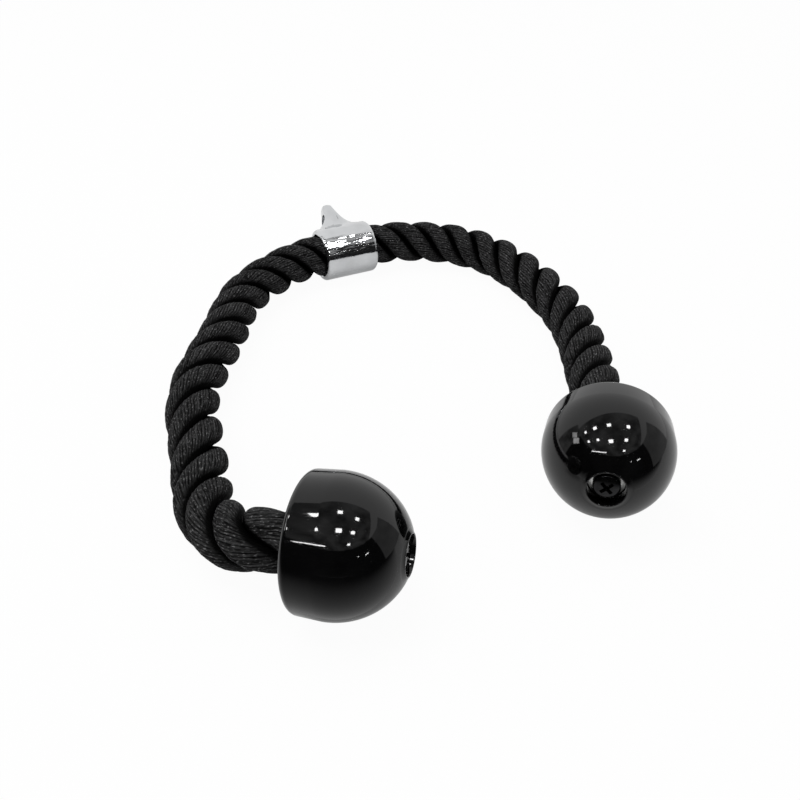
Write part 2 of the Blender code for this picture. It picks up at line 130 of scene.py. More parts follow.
def grid_faces(rings: int, sides: int, shell: Shell) -> np.ndarray:
    """Four-cornered faces of a tube of rings, each ring joined to the next and its last point to its first.

    Args:
        rings: number of rings.
        sides: points in a ring.
        shell: RING also joins the last ring to the first.

    Returns:
        Corner indices, one face a row.
    """
    last = rings if shell is Shell.RING else rings - 1
    ring, side = np.meshgrid(np.arange(last), np.arange(sides), indexing="ij")
    after, beside = (ring + 1) % rings, (side + 1) % sides
    corners = [ring * sides + side, ring * sides + beside, after * sides + beside, after * sides + side]
    return np.stack(corners, axis=-1).reshape(-1, 4)


def cap_faces(centre: int, start: int, sides: int, flip: bool) -> np.ndarray:
    """Three-cornered faces between a centre point and one ring.

    Args:
        centre: index of the centre point.
        start: index of the ring's first point.
        sides: points in the ring.
        flip: turns the faces round.

    Returns:
        Corner indices, one face a row.
    """
    side = np.arange(sides)
    here, there = start + side, start + (side + 1) % sides
    pair = (there, here) if flip else (here, there)
    return np.stack([np.full(sides, centre), *pair], axis=-1)


def mesh_from(
    name: str, points: np.ndarray, groups: list[np.ndarray], uv: np.ndarray | None = None
) -> bpy.types.Mesh:
    """A smooth mesh from arrays of points and faces.

    Args:
        name: the mesh's name.
        points: one point a row.
        groups: arrays of faces, each with its own number of corners.
        uv: one pair for each corner of each face, in the faces' order.

    Returns:
        The mesh.
    """
    mesh = bpy.data.meshes.new(name)
    totals = np.concatenate([np.full(len(g), g.shape[1]) for g in groups]).astype(np.int32)
    corners = np.concatenate([g.ravel() for g in groups]).astype(np.int32)
    mesh.vertices.add(len(points))
    mesh.vertices.foreach_set("co", np.ascontiguousarray(points, np.float32).ravel())
    mesh.loops.add(len(corners))
    mesh.loops.foreach_set("vertex_index", corners)
    mesh.polygons.add(len(totals))
    mesh.polygons.foreach_set("loop_start", np.concatenate([[0], np.cumsum(totals)[:-1]]).astype(np.int32))
    mesh.polygons.foreach_set("loop_total", totals)
    mesh.polygons.foreach_set("use_smooth", np.ones(len(totals), bool))
    if uv is not None:
        layer = mesh.uv_layers.new(name="UVMap")
        layer.data.foreach_set("uv", np.ascontiguousarray(uv, np.float32).ravel())
    mesh.update(calc_edges=True)
    mesh.validate()
    return mesh


def piece_from(name: str, mesh: bpy.types.Mesh, finish: bpy.types.Material) -> bpy.types.Object:
    """Links a mesh as a piece of the object, with its finish.

    Args:
        name: the piece's name.
        mesh: its mesh, in the row frame.
        finish: its material.

    Returns:
        The object, at the origin.
    """
    piece = bpy.data.objects.new(name, mesh)
    mesh.materials.append(finish)
    bpy.context.scene.collection.objects.link(piece)
    return piece


def placed(points: np.ndarray, place: Matrix) -> np.ndarray:
    """Points of a local frame carried into the row frame, where place says how that frame lies."""
    turned = np.array(place)
    return points @ turned[:3, :3].T + turned[:3, 3]


def bowed(
    start: tuple[float, float], end: tuple[float, float], centre: tuple[float, float], steps: int
) -> np.ndarray:
    """Points of the shorter circular arc from start to end about a centre, the first left out.

    Args:
        start: (radius, height) where the arc begins.
        end: (radius, height) where it ends.
        centre: the arc's centre.
        steps: number of points.

    Returns:
        One (radius, height) a row.
    """
    first, last = np.subtract(start, centre), np.subtract(end, centre)
    turn = math.atan2(last[1], last[0]) - math.atan2(first[1], first[0])
    turn = (turn + math.pi) % TURN - math.pi
    angle = math.atan2(first[1], first[0]) + turn * np.linspace(0, 1, steps + 1)[1:]
    return np.array(centre) + np.hypot(*first) * np.stack([np.cos(angle), np.sin(angle)], axis=1)


def revolved(name: str, profile: np.ndarray, steps: int, place: Matrix) -> bpy.types.Mesh:
    """A closed profile carried round the local Z axis: x = radius cos(angle), y = radius sin(angle).

    Args:
        name: the mesh's name.
        profile: (radius, height) points of a closed ring section, in order.
        steps: steps round the axis.
        place: where the local axis lies in the row frame.

    Returns:
        The mesh, facing out.
    """
    angle = np.linspace(0, TURN, steps, endpoint=False)
    radius, height = profile[:, 0], profile[:, 1]
    local = np.stack([
        np.outer(np.cos(angle), radius),
        np.outer(np.sin(angle), radius),
        np.broadcast_to(height, (steps, len(profile))),
    ], axis=-1).reshape(-1, 3)
    area = np.sum(radius * np.roll(height, -1) - np.roll(radius, -1) * height)
    faces = grid_faces(steps, len(profile), Shell.RING)
    return mesh_from(name, placed(local, place), [faces[:, ::-1] if area > 0 else faces])


def carve(piece: bpy.types.Object, points: np.ndarray, faces: list[np.ndarray]) -> None:
    """Cuts a closed shape out of a piece.

    Args:
        piece: the piece that is cut.
        points: the shape's points in the row frame.
        faces: its faces, facing out.
    """
    cutter = bpy.data.objects.new("cutter", mesh_from("cutter", points, faces))
    bpy.context.scene.collection.objects.link(cutter)
    step = piece.modifiers.new("cut", "BOOLEAN")
    step.operation, step.solver, step.object = "DIFFERENCE", "EXACT", cutter
    cut = bpy.data.meshes.new_from_object(piece.evaluated_get(bpy.context.evaluated_depsgraph_get()))
    piece.modifiers.clear()
    piece.data = cut
    bpy.data.objects.remove(cutter)


# Shader helpers


class Nodes:
    """Adds nodes to a node tree, with their settings and links in one call."""

    def __init__(self, tree: bpy.types.NodeTree) -> None:
        """Keeps the tree that is being filled."""
        self.tree = tree

    def add(self, kind: str, /, sockets: dict | None = None, **settings) -> bpy.types.Node:
        """Adds one node.

        Args:
            kind: the node's type.
            sockets: input name or number to a value or to another node's output.
            settings: the node's own properties.

        Returns:
            The node.
        """
        node = self.tree.nodes.new(kind)
        for key, value in settings.items():
            setattr(node, key, value)
        for key, value in (sockets or {}).items():
            if isinstance(value, bpy.types.NodeSocket):
                self.tree.links.new(value, node.inputs[key])
            else:
                node.inputs[key].default_value = value
        return node

    def math(self, operation: str, a: object, b: object = 0.0, clamp: bool = False) -> bpy.types.NodeSocket:
        """The output of one Math node on two values or outputs."""
        return self.add("ShaderNodeMath", {0: a, 1: b}, operation=operation, use_clamp=clamp).outputs[0]

    def noise(
        self, where: object, scale: float, detail: float = 3.0, rough: float = 0.5
    ) -> bpy.types.NodeSocket:
        """The value of one Noise texture."""
        sockets = {"Vector": where, "Scale": scale, "Detail": detail, "Roughness": rough}
        return self.add("ShaderNodeTexNoise", sockets).outputs["Fac"]

    def spread(
        self, value: object, low: float, high: float, to_low: float = 0.0, to_high: float = 1.0
    ) -> bpy.types.NodeSocket:
        """The output of one clamped Map Range node."""
        sockets = {0: value, 1: low, 2: high, 3: to_low, 4: to_high}
        return self.add("ShaderNodeMapRange", sockets).outputs[0]

    def vector(self, operation: str, a: object, b: tuple = (0, 0, 0)) -> bpy.types.Node:
        """One Vector Math node on an output and a value."""
        return self.add("ShaderNodeVectorMath", {0: a, 1: b}, operation=operation)

    def scaled(self, where: object, scale: tuple) -> bpy.types.NodeSocket:
        """Coordinates stretched by a Mapping node."""
        return self.add("ShaderNodeMapping", {"Vector": where, "Scale": scale}).outputs["Vector"]

    def bump(self, height: object, depth: object, **more: object) -> bpy.types.NodeSocket:
        """The normal of one Bump node at full strength."""
        sockets = {"Height": height, "Distance": depth, "Strength": 1.0, **more}
        return self.add("ShaderNodeBump", sockets).outputs["Normal"]

    def glow(self, strength: object) -> bpy.types.NodeSocket:
        """The shader of one white Emission node."""
        return self.add("ShaderNodeEmission", {"Color": WHITE, "Strength": strength}).outputs[0]

    def mixed(self, share: object, a: object, b: object) -> bpy.types.NodeSocket:
        """The colour output of one Mix node."""
        node = self.add("ShaderNodeMix", data_type="RGBA")
        for socket, value in zip((node.inputs[0], node.inputs[6], node.inputs[7]), (share, a, b)):
            if isinstance(value, bpy.types.NodeSocket):
                self.tree.links.new(value, socket)
            else:
                socket.default_value = value
        return node.outputs[2]


def bare_material(name: str) -> tuple[bpy.types.Material, Nodes]:
    """A material with nodes, and its node helper."""
    made = bpy.data.materials.new(name)
    made.use_nodes = True
    return made, Nodes(made.node_tree)


def fresh_material(name: str) -> tuple[bpy.types.Material, Nodes, bpy.types.Node]:
    """A material with one Principled shader.

    Args:
        name: the material's name.

    Returns:
        The material, its node helper and the shader.
    """
    made, make = bare_material(name)
    return made, make, made.node_tree.nodes["Principled BSDF"]


def surface_of(made: bpy.types.Material) -> bpy.types.NodeSocket:
    """The input that takes a material's surface shader."""
    return made.node_tree.nodes["Material Output"].inputs["Surface"]


def group_with(
    name: str, inputs: dict[str, float], outputs: dict[str, str]
) -> tuple[bpy.types.NodeTree, Nodes]:
    """An empty node group with a vector input, number inputs and the given outputs.

    Args:
        name: the group's name.
        inputs: number input to its usual value.
        outputs: output name to its socket type.

    Returns:
        The group and its node helper.
    """
    tree = bpy.data.node_groups.new(name, "ShaderNodeTree")
    tree.interface.new_socket("Vector", in_out="INPUT", socket_type="NodeSocketVector")
    for key, value in inputs.items():
        socket = tree.interface.new_socket(key, in_out="INPUT", socket_type="NodeSocketFloat")
        socket.default_value = value
    for key, kind in outputs.items():
        tree.interface.new_socket(key, in_out="OUTPUT", socket_type=kind)
    return tree, Nodes(tree)


def speckle_group() -> bpy.types.NodeTree:
    """Two sizes of soft mottling and fine dust specks, as one value each between 0 and 1.

    Returns:
        A group with the outputs Mottle and Specks.
    """
    tree, make = group_with("mottle and specks", {"Mottle Scale": 60.0, "Speck Scale": 900.0},
                            {"Mottle": "NodeSocketFloat", "Specks": "NodeSocketFloat"})
    source = make.add("NodeGroupInput")
    wide = make.noise(source.outputs["Vector"], source.outputs["Mottle Scale"])
    fine = make.noise(source.outputs["Vector"], source.outputs["Speck Scale"], 2.0)
    make.add("NodeGroupOutput", {"Mottle": make.spread(wide, 0.35, 0.65),
                                 "Specks": make.spread(fine, 0.66, 0.74)})
    return tree


def relief_group() -> bpy.types.NodeTree:
    """A shallow uneven surface from two noises, as a normal.

    Returns:
        A group with the output Normal.
    """
    tree, make = group_with("uneven surface", {"Wide Scale": 60.0, "Fine Scale": 600.0, "Fine Share": 0.3,
                                               "Depth": 0.0001}, {"Normal": "NodeSocketVector"})
    source = make.add("NodeGroupInput")
    wide = make.noise(source.outputs["Vector"], source.outputs["Wide Scale"], 2.0)
    fine = make.noise(source.outputs["Vector"], source.outputs["Fine Scale"], 2.0)
    height = make.math("ADD", wide, make.math("MULTIPLY", fine, source.outputs["Fine Share"]))
    make.add("NodeGroupOutput", {"Normal": make.bump(height, source.outputs["Depth"])})
    return tree


SHARED: dict[str, bpy.types.NodeTree] = {}


def shared(name: str) -> bpy.types.NodeTree:
    """The shared node group of that short name, built when it is first asked for."""
    if name not in SHARED:
        SHARED[name] = {"speckle": speckle_group, "relief": relief_group}[name]()
    return SHARED[name]


def uneven_skin(
    make: Nodes, speckle: dict[str, float], relief: dict[str, float]
) -> tuple[bpy.types.NodeSocket, bpy.types.NodeSocket, bpy.types.NodeSocket, bpy.types.NodeSocket]:
    """The two shared groups in a material, on the piece's own coordinates.

    Args:
        make: the material's node helper.
        speckle: inputs of the mottling that aren't as usual.
        relief: inputs of the uneven surface that aren't as usual.

    Returns:
        The coordinates, the mottling, the specks and the normal.
    """
    where = make.add("ShaderNodeTexCoord").outputs["Object"]
    marks = make.add("ShaderNodeGroup", {"Vector": where, **speckle}, node_tree=shared("speckle"))
    surface = make.add("ShaderNodeGroup", {"Vector": where, **relief}, node_tree=shared("relief"))
    return where, marks.outputs["Mottle"], marks.outputs["Specks"], surface.outputs["Normal"]


# Finishes


@dataclass(frozen=True)
class RopeFibre:
    """Matt black synthetic yarns with single fibres running along them; painted shade in the grooves and
    between yarns, and painted glints of single fibres.
    """

    dark: tuple = (0.0040, 0.0040, 0.0041, 1)
    light: tuple = (0.0620, 0.0620, 0.0630, 1)
    # colour of the painted glints: light specks that stand for glints of single fibres
    glint: tuple = (0.1700, 0.1700, 0.1720, 1)
    # colour of the painted shade in the grooves between strands and in the gaps between yarns
    black: tuple = (0.0004, 0.0004, 0.0004, 1)
    roughness: float = 0.66
    fibre_depth: float = 0.00022
    gap_shade_sway: float = 0.6        # of a yarn's width, how far the painted shade lines in the gaps between yarns stray
    refraction: float = 1.10     # low, so that the yarns keep a faint sheen only

    # Noises: patches to a yarn's width, patches to a metre of its length, and detail
    STREAKS = (2.2, 330.0, 3.0)
    TONE = (1.0, 14.0, 2.0)
    GLINTS = (2.6, 560.0, 1.0)
    SWAY = (1.0, 200.0, 2.0)
    BREAKS = (1.0, 130.0, 2.0)

    def build(self) -> bpy.types.Material:
        """The material. It reads the grooves and the UV map, where u counts yarns and v is metres along."""
        made, make, shader = fresh_material("rope_fibre")
        uv = make.add("ShaderNodeUVMap", uv_map="UVMap").outputs["UV"]
        streaks = self.stretched(make, uv, *self.STREAKS)
        tone = self.stretched(make, uv, *self.TONE)
        # painted glints: light specks of single fibres mixed into the yarn colour
        glints = make.spread(self.stretched(make, uv, *self.GLINTS), 0.58, 0.70)
        blend = make.math("ADD", make.math("MULTIPLY", streaks, 0.6), make.math("MULTIPLY", tone, 0.5))
        yarn = make.mixed(make.spread(blend, 0.45, 0.68), self.dark, self.light)
        yarn = make.mixed(glints, yarn, self.glint)
        # painted shade: dark lines in the gaps between yarns, wandering and broken in places, mixed towards
        # black
        sway = make.math("MULTIPLY", self.stretched(make, uv, *self.SWAY), self.gap_shade_sway)
        across = make.add("ShaderNodeSeparateXYZ", {0: uv}).outputs[0]
        strayed = make.math("ADD", make.math("ADD", across, 0.5 - self.gap_shade_sway / 2), sway)
        beside = make.math("PINGPONG", strayed, 0.5)
        broken = make.spread(self.stretched(make, uv, *self.BREAKS), 0.36, 0.54, 0.35, 1.0)
        gap_shade = make.math("MULTIPLY", make.spread(beside, 0.08, 0.36, 1.0, 0.0), broken)
        # painted shade: the colour turns black down in the grooves between strands, from the groove_shade share
        # and a little tone
        groove_shade = make.add("ShaderNodeAttribute", attribute_name="groove_shade").outputs["Fac"]
        deep = make.spread(make.math("ADD", groove_shade, make.math("MULTIPLY", tone, 0.3)), 0.10, 0.95)
        # both painted shades together, the grooves' and the yarn gaps'
        shade = make.math("MAXIMUM", gap_shade, deep)
        link = made.node_tree.links.new
        link(make.mixed(shade, yarn, self.black), shader.inputs["Base Color"])
        link(make.bump(streaks, self.fibre_depth), shader.inputs["Normal"])
        rough = make.spread(streaks, 0.3, 0.7, self.roughness - 0.08, self.roughness + 0.1)
        link(rough, shader.inputs["Roughness"])
        shader.inputs["IOR"].default_value = self.refraction
        return made

    @staticmethod
    def stretched(
        make: Nodes, uv: object, across: float, along: float, detail: float
    ) -> bpy.types.NodeSocket:
        """A noise with so many patches to a yarn's width and so many to a metre of its length."""
        return make.noise(make.scaled(uv, (across, along, 1.0)), 1.0, detail, 0.7)


@dataclass(frozen=True)
class ChromePlate:
    """Bright plating over a casting whose skin was not quite smooth, with a rougher strip in front."""

    colour: tuple = (0.62, 0.63, 0.64, 1)
    roughness: float = 0.055
    depth: float = 0.00006
    strip_depth: float = 0.0007
    strip_roughness: float = 0.05
    strip_middle: float = 46.0    # degrees round the collar from the top towards the grips
    strip_half: float = 30.0
    wave_stretch: float = 0.15    # the strip's waves lie along the collar
    wave_scale: float = 420.0
    wave_detail: float = 1.5

    def build(self) -> bpy.types.Material:
        """The material, on the piece's own coordinates."""
        made, make, shader = fresh_material("chrome_plate")
        where, mottle, _, normal = uneven_skin(make, {}, {
            "Wide Scale": 170.0, "Fine Scale": 900.0, "Fine Share": 0.45, "Depth": self.depth})
        rough = make.spread(mottle, 0.0, 1.0, self.roughness * 0.8, self.roughness * 1.3)
        duller = tuple(c * 0.86 for c in self.colour[:3]) + (1,)
        link = made.node_tree.links.new
        link(make.mixed(mottle, self.colour, duller), shader.inputs["Base Color"])
        strip = self.strip(make, where)
        rougher = make.math("MULTIPLY", strip, self.strip_roughness)
        link(make.math("ADD", rough, rougher), shader.inputs["Roughness"])
        along = make.scaled(where, (self.wave_stretch, 1.0, 1.0))
        waves = make.math("SUBTRACT", make.noise(along, self.wave_scale, self.wave_detail), 0.5)
        height = make.math("MULTIPLY", waves, strip)
        link(make.bump(height, self.strip_depth, Normal=normal), shader.inputs["Normal"])
        shader.inputs["Metallic"].default_value = 1.0
        return made

    def strip(self, make: Nodes, where: object) -> bpy.types.NodeSocket:
        """1 along the rougher strip of the collar's front, falling to 0 at its edges."""
        middle = math.radians(self.strip_middle)
        out = make.vector("SUBTRACT", where, (0, COLLAR_Y, COLLAR_RADIUS)).outputs[0]
        out = make.vector("MULTIPLY", out, (0, 1, 1)).outputs[0]
        out = make.vector("NORMALIZE", out).outputs[0]
        front = (0, -math.sin(middle), math.cos(middle))
        facing = make.vector("DOT_PRODUCT", out, front).outputs["Value"]
        edge = math.cos(math.radians(self.strip_half))
        full = math.cos(math.radians(self.strip_half * 0.6))
        return make.spread(facing, edge, full)


@dataclass(frozen=True)
class GlossPlastic:
    """Glossy black moulded plastic with a very slight waviness and a little dust."""

    colour: tuple = (0.0010, 0.0010, 0.0011, 1)
    worn: tuple = (0.0026, 0.0026, 0.0028, 1)
    roughness: float = 0.055
    depth: float = 0.000012
    refraction: float = 1.42

    def build(self) -> bpy.types.Material:
        """The material, on the piece's own coordinates."""
        made, make, shader = fresh_material("ball_plastic")
        _, mottle, specks, normal = uneven_skin(make, {"Mottle Scale": 45.0, "Speck Scale": 1500.0}, {
            "Wide Scale": 55.0, "Fine Scale": 1400.0, "Fine Share": 0.02, "Depth": self.depth})
        link = made.node_tree.links.new
        link(make.mixed(mottle, self.colour, self.worn), shader.inputs["Base Color"])
        dusty = make.math("MULTIPLY", specks, 0.2)
        link(make.math("ADD", dusty, self.roughness), shader.inputs["Roughness"])
        link(normal, shader.inputs["Normal"])
        shader.inputs["IOR"].default_value = self.refraction
        return made


@dataclass(frozen=True)
class PlainFinish:
    """A finish for small parts: a mottled colour, its roughness and a shallow relief."""

    name: str
    colour: tuple
    roughness: float
    metallic: float
    depth: float = 0.00003

    def build(self) -> bpy.types.Material:
        """The material, on the piece's own coordinates."""
        made, make, shader = fresh_material(self.name)
        _, mottle, _, normal = uneven_skin(make, {"Mottle Scale": 300.0}, {
            "Wide Scale": 500.0, "Fine Scale": 3000.0, "Depth": self.depth})
        dark = tuple(c * 0.7 for c in self.colour) + (1,)
        rough = make.spread(mottle, 0.0, 1.0, self.roughness * 0.85, self.roughness * 1.2)
        link = made.node_tree.links.new
        link(make.mixed(mottle, (*self.colour, 1), dark), shader.inputs["Base Color"])
        link(rough, shader.inputs["Roughness"])
        link(normal, shader.inputs["Normal"])
        shader.inputs["Metallic"].default_value = self.metallic
        return made


# Rope


SPAN_STEPS = 40    # points worked out for each chosen point of a route, before they are spaced evenly


def spline(points: np.ndarray, first: tuple, last: tuple, step: float) -> np.ndarray:
    """Even points on the CAD source's curve: a cubic in each span, with slopes that keep it smooth.

    Args:
        points: the chosen points.
        first: direction at the start.
        last: direction at the end.
        step: spacing of the points.

    Returns:
        The curve's points.
    """
    points = np.array(points)
    chord = np.linalg.norm(np.diff(points, axis=0), axis=1)
    at = np.concatenate([[0], np.cumsum(chord)])
    count = len(points)
    system, wanted = np.zeros((count, count)), np.zeros((count, 3))
    system[0, 0] = system[-1, -1] = 1
    wanted[0], wanted[-1] = first, last
    for i in range(1, count - 1):
        before, after = chord[i - 1], chord[i]
        system[i, i - 1:i + 2] = after, 2 * (before + after), before
        behind, ahead = points[i] - points[i - 1], points[i + 1] - points[i]
        wanted[i] = 3 * (after * behind / before + before * ahead / after)
    slope = np.linalg.solve(system, wanted)
    where = np.linspace(0, at[-1], SPAN_STEPS * count)
    i = np.clip(np.searchsorted(at, where, side="right") - 1, 0, count - 2)
    width = chord[i][:, None]
    t = (where - at[i])[:, None] / width
    fine = ((2 * t ** 3 - 3 * t ** 2 + 1) * points[i] + (t ** 3 - 2 * t ** 2 + t) * width * slope[i]
            + (3 * t ** 2 - 2 * t ** 3) * points[i + 1] + (t ** 3 - t ** 2) * width * slope[i + 1])
    return spaced(fine, step)


def distance_along(points: np.ndarray) -> np.ndarray:
    """Distance of each point from the first, along the line."""
    return np.concatenate([[0], np.cumsum(np.linalg.norm(np.diff(points, axis=0), axis=1))])


def spaced(points: np.ndarray, step: float) -> np.ndarray:
    """The line again, with points about a step apart."""
    run = distance_along(points)
    at = np.linspace(0, run[-1], max(3, round(run[-1] / step) + 1))
    return np.stack([np.interp(at, run, points[:, k]) for k in range(3)], axis=1)


@dataclass
class BallPlace:
    """Where a ball end lies. Local Z runs from its flat back to its nose."""

    x: float
    y: float
    heading: float
    tilt: float
    radius: float = 0.0300
    drum: float = 0.0135
    back_share: float = 0.98
    edge: float = 0.0032

    def matrix(self) -> Matrix:
        """The ball's place in the row frame, as the CAD source works it out."""
        tilt = math.radians(self.tilt)
        back = math.cos(tilt) * (self.back_share * self.radius - self.edge)
        back += math.sin(tilt) * (self.drum - self.edge) + self.edge
        lift = max(back, self.radius * math.cos(tilt))
        turn = Matrix.Rotation(math.radians(self.heading), 4, "Z")
        turn = turn @ Matrix.Rotation(math.pi / 2 - tilt, 4, "Y")
        nose = turn @ Vector((0, 0, 1))
        middle = Vector((COLLAR_X + self.x, COLLAR_Y + self.y, lift))
        return Matrix.Translation(middle - nose * self.drum) @ turn


BALL_PLACES = {
    Side.LEFT: BallPlace(-0.1163, -0.2676, -40.4, 4.0),
    Side.RIGHT: BallPlace(0.0175, -0.2676, -129.5, 5.4),
}


@dataclass
class LaidRope:
    """One half of the rope: three strands laid to the right, each of many yarns, from collar to ball end.

    The strands' section stands square to the rope's line and turns with the lay. Distances run from the
    collar's middle.
    """

    side: Side
    route: list
    lay_start: float             # degrees of the first strand's crown where the free rope starts
    lays: list                   # (distance from the bend's start, length of one turn of the lay)
    bend_start: float = 0.0210
    bend_end: float = 0.0371
    radius: float = 0.0139       # over the strands' crowns
    strand_offset: float = 0.00745
    strand_half_depth: float = 0.00645
    strand_half_width: float = 0.0082
    yarns: int = 30
    yarn_points: int = 4
    yarn_relief: float = 0.00042
    yarn_unevenness: float = 0.00016
    yarn_wander: float = 0.24    # of a yarn's width
    wander_step: float = 0.0060
    ring_step: float = 0.0019
    plug_depth: float = 0.0095   # into the ball's bore, where the strands start to open round the plug
    plug_radius: float = 0.0051
    bore_depth: float = 0.0316
    whipping_depth: float = 0.0193
    whipped_radius: float = 0.0127
    easing: float = 0.0030
    groove_shade_start: float = 0.0008  # below the crowns, where the painted shade in the grooves between strands begins
    groove_shade_full: float = 0.0036   # and where that painted shade is full
    flank_gap: float = 0.00002    # between a strand and the flank of its third
    flank_power: float = 9.0
    least_width: float = 0.000001
    swell_length: float = 0.047   # over which a yarn's back rises and falls
    strand_shift: float = 0.013   # between the swells of one strand and the next
    blend_lean: float = 8.0       # of the bend's axis, towards the grips
    exit_at: float = 0.0186       # the collar's mouth

    YARN_DIP = np.array([0.0, 0.35, 1.0, 0.35])

    def centre_line(self) -> np.ndarray:
        """The rope's line from the collar's middle to the bottom of the ball's bore, evenly spaced."""
        place = BALL_PLACES[self.side].matrix()
        nose = place.to_3x3() @ Vector((0, 0, 1))
        start = np.array([COLLAR_X + self.side.toward * self.bend_start, COLLAR_Y, COLLAR_RADIUS])
        chosen = [(COLLAR_X + x, COLLAR_Y + y, ROPE_RADIUS + lift) for x, y, lift in self.route]
        free = spline([start, *chosen], (self.side.toward, 0, 0), tuple(nose), self.ring_step / 4)
        middle = np.array([[COLLAR_X, COLLAR_Y, COLLAR_RADIUS]])
        seat = np.array([place.translation + nose * self.bore_depth])
        return spaced(np.vstack([middle, free, seat]), self.ring_step)

    def free_end(self) -> float:
        """Distance of the ball's flat back from the collar's middle."""
        return distance_along(self.centre_line())[-1] - self.bore_depth

    def frames(self, line: np.ndarray) -> tuple[np.ndarray, np.ndarray]:
        """The upward and the sideways direction square to the line at each point."""
        ahead = np.gradient(line, axis=0)
        ahead /= np.linalg.norm(ahead, axis=1)[:, None]
        up = np.array([0, 0, 1.0]) - ahead * ahead[:, 2:3]
        up /= np.linalg.norm(up, axis=1)[:, None]
        return up, np.cross(ahead, up)

    def lay_angle(self, run: np.ndarray) -> np.ndarray:
        """Angle of the first strand's crown: a full turn over each length of lay, summed along the rope."""
        at, lay = np.array(self.lays).T
        rate = TURN / np.interp(run - self.bend_start, at, lay)
        angle = np.concatenate([[0], np.cumsum((rate[1:] + rate[:-1]) / 2 * np.diff(run))])
        return angle + math.radians(self.lay_start) - np.interp(self.bend_start, run, angle)

    def section(self, turn: np.ndarray) -> tuple[np.ndarray, np.ndarray]:
        """Section of one strand at a place round it: an ellipse kept inside its third of the rope.

        The width is held below the third's flank by a soft minimum, 1 / (1 / width^p + 1 / flank^p)^(1 / p).

        Args:
            turn: angle round the strand, 0 at its crown.

        Returns:
            Distance out from the rope's line and sideways.
        """
        out = self.strand_offset + self.strand_half_depth * np.cos(turn)
        across = self.strand_half_width * np.sin(turn)
        flank = out * math.tan(math.pi / 3) - self.flank_gap
        width = np.maximum(np.abs(across), self.least_width)
        power = self.flank_power
        held = (width ** -power + flank ** -power) ** (-1 / power)
        return out, np.sign(across) * held

    def yarn_height(self, index: np.ndarray, run: np.ndarray) -> np.ndarray:
        """Height of the yarns' rounded backs, 0 at a back and negative in the groove between two.

        Args:
            index: number of the point round the strand.
            run: distance along the rope.

        Returns:
            One height for each ring and point.
        """
        random = np.random.default_rng(7 if self.side is Side.LEFT else 11)
        back = -self.YARN_DIP[index % self.yarn_points]
        yarn = (index // self.yarn_points) % self.yarns
        offset = random.uniform(-1, 1, self.yarns)[yarn]
        phase = random.uniform(0, TURN, self.yarns)[yarn]
        slow = np.sin(run[:, None] * TURN / self.swell_length + phase)
        return self.yarn_relief * back + self.yarn_unevenness * (offset - 1 + 0.5 * slow)

    def yarn_sway(self, index: np.ndarray, run: np.ndarray, number: int) -> np.ndarray:
        """How far the yarns wander sideways along a strand: chance values at knots, joined evenly.

        Args:
            index: number of the point round the strand.
            run: distance along the rope.
            number: which strand.

        Returns:
            One angle round the strand for each ring and point.
        """
        random = np.random.default_rng([number, len(run)])
        knots = np.arange(0, run[-1] + self.wander_step, self.wander_step)
        values = random.uniform(-1, 1, (len(knots), self.yarns))
        along = np.stack([np.interp(run, knots, values[:, yarn]) for yarn in range(self.yarns)], axis=1)
        place = (index / self.yarn_points) % self.yarns
        low = place.astype(int)
        share = place - low
        sway = along[:, low] * (1 - share) + along[:, (low + 1) % self.yarns] * share
        return self.yarn_wander * TURN / self.yarns * sway

    def strand(self, number: int, line: np.ndarray, run: np.ndarray) -> tuple[np.ndarray, np.ndarray]:
        """Points of one strand, ring by ring, and how far each lies down between strands, which sets its
        painted shade.

        The points turn back against the lay, so that the yarns lie along the rope on a strand's crown.

        Args:
            number: which of the three strands.
            line: the rope's line.
            run: distance along it.

        Returns:
            Points as rings x points x 3, and one share a point for the painted shade: 0 at the crown, 1 deep
            down between strands.
        """
        up, beside = self.frames(line)
        lay = self.lay_angle(run) + number * TURN / 3
        index = np.arange(self.yarns * self.yarn_points)
        counter = (self.strand_offset + self.strand_half_depth) / self.strand_half_width
        turn = TURN * index / len(index) - counter * (lay - lay[0])[:, None]
        turn = turn + self.yarn_sway(index, run, number)
        out, across = self.section(turn)
        lift = self.yarn_height(index, run + number * self.strand_shift)
        out = out + lift * np.cos(turn)
        across = across + lift * np.sin(turn) * self.strand_half_depth / self.strand_half_width
        depth = run - (run[-1] - self.bore_depth)
        heart = self.plug_radius * np.clip((depth - self.plug_depth) / self.easing, 0, 1)
        squeeze = np.clip((depth - self.whipping_depth + self.easing) / self.easing, 0, 1)
        girth = self.radius + (self.whipped_radius - self.radius) * squeeze
        reach = np.hypot(out, across)
        wide = heart[:, None] + reach * ((girth - heart) / self.radius)[:, None]
        angle = np.arctan2(across, out) + lay[:, None]
        spoke = np.cos(angle)[..., None] * up[:, None] + np.sin(angle)[..., None] * beside[:, None]
        # painted shade: a point's share grows the further it lies below the strands' crowns
        span = self.groove_shade_full - self.groove_shade_start
        share = np.clip((self.radius - reach - self.groove_shade_start) / span, 0, 1)
        return line[:, None] + wide[..., None] * spoke, share

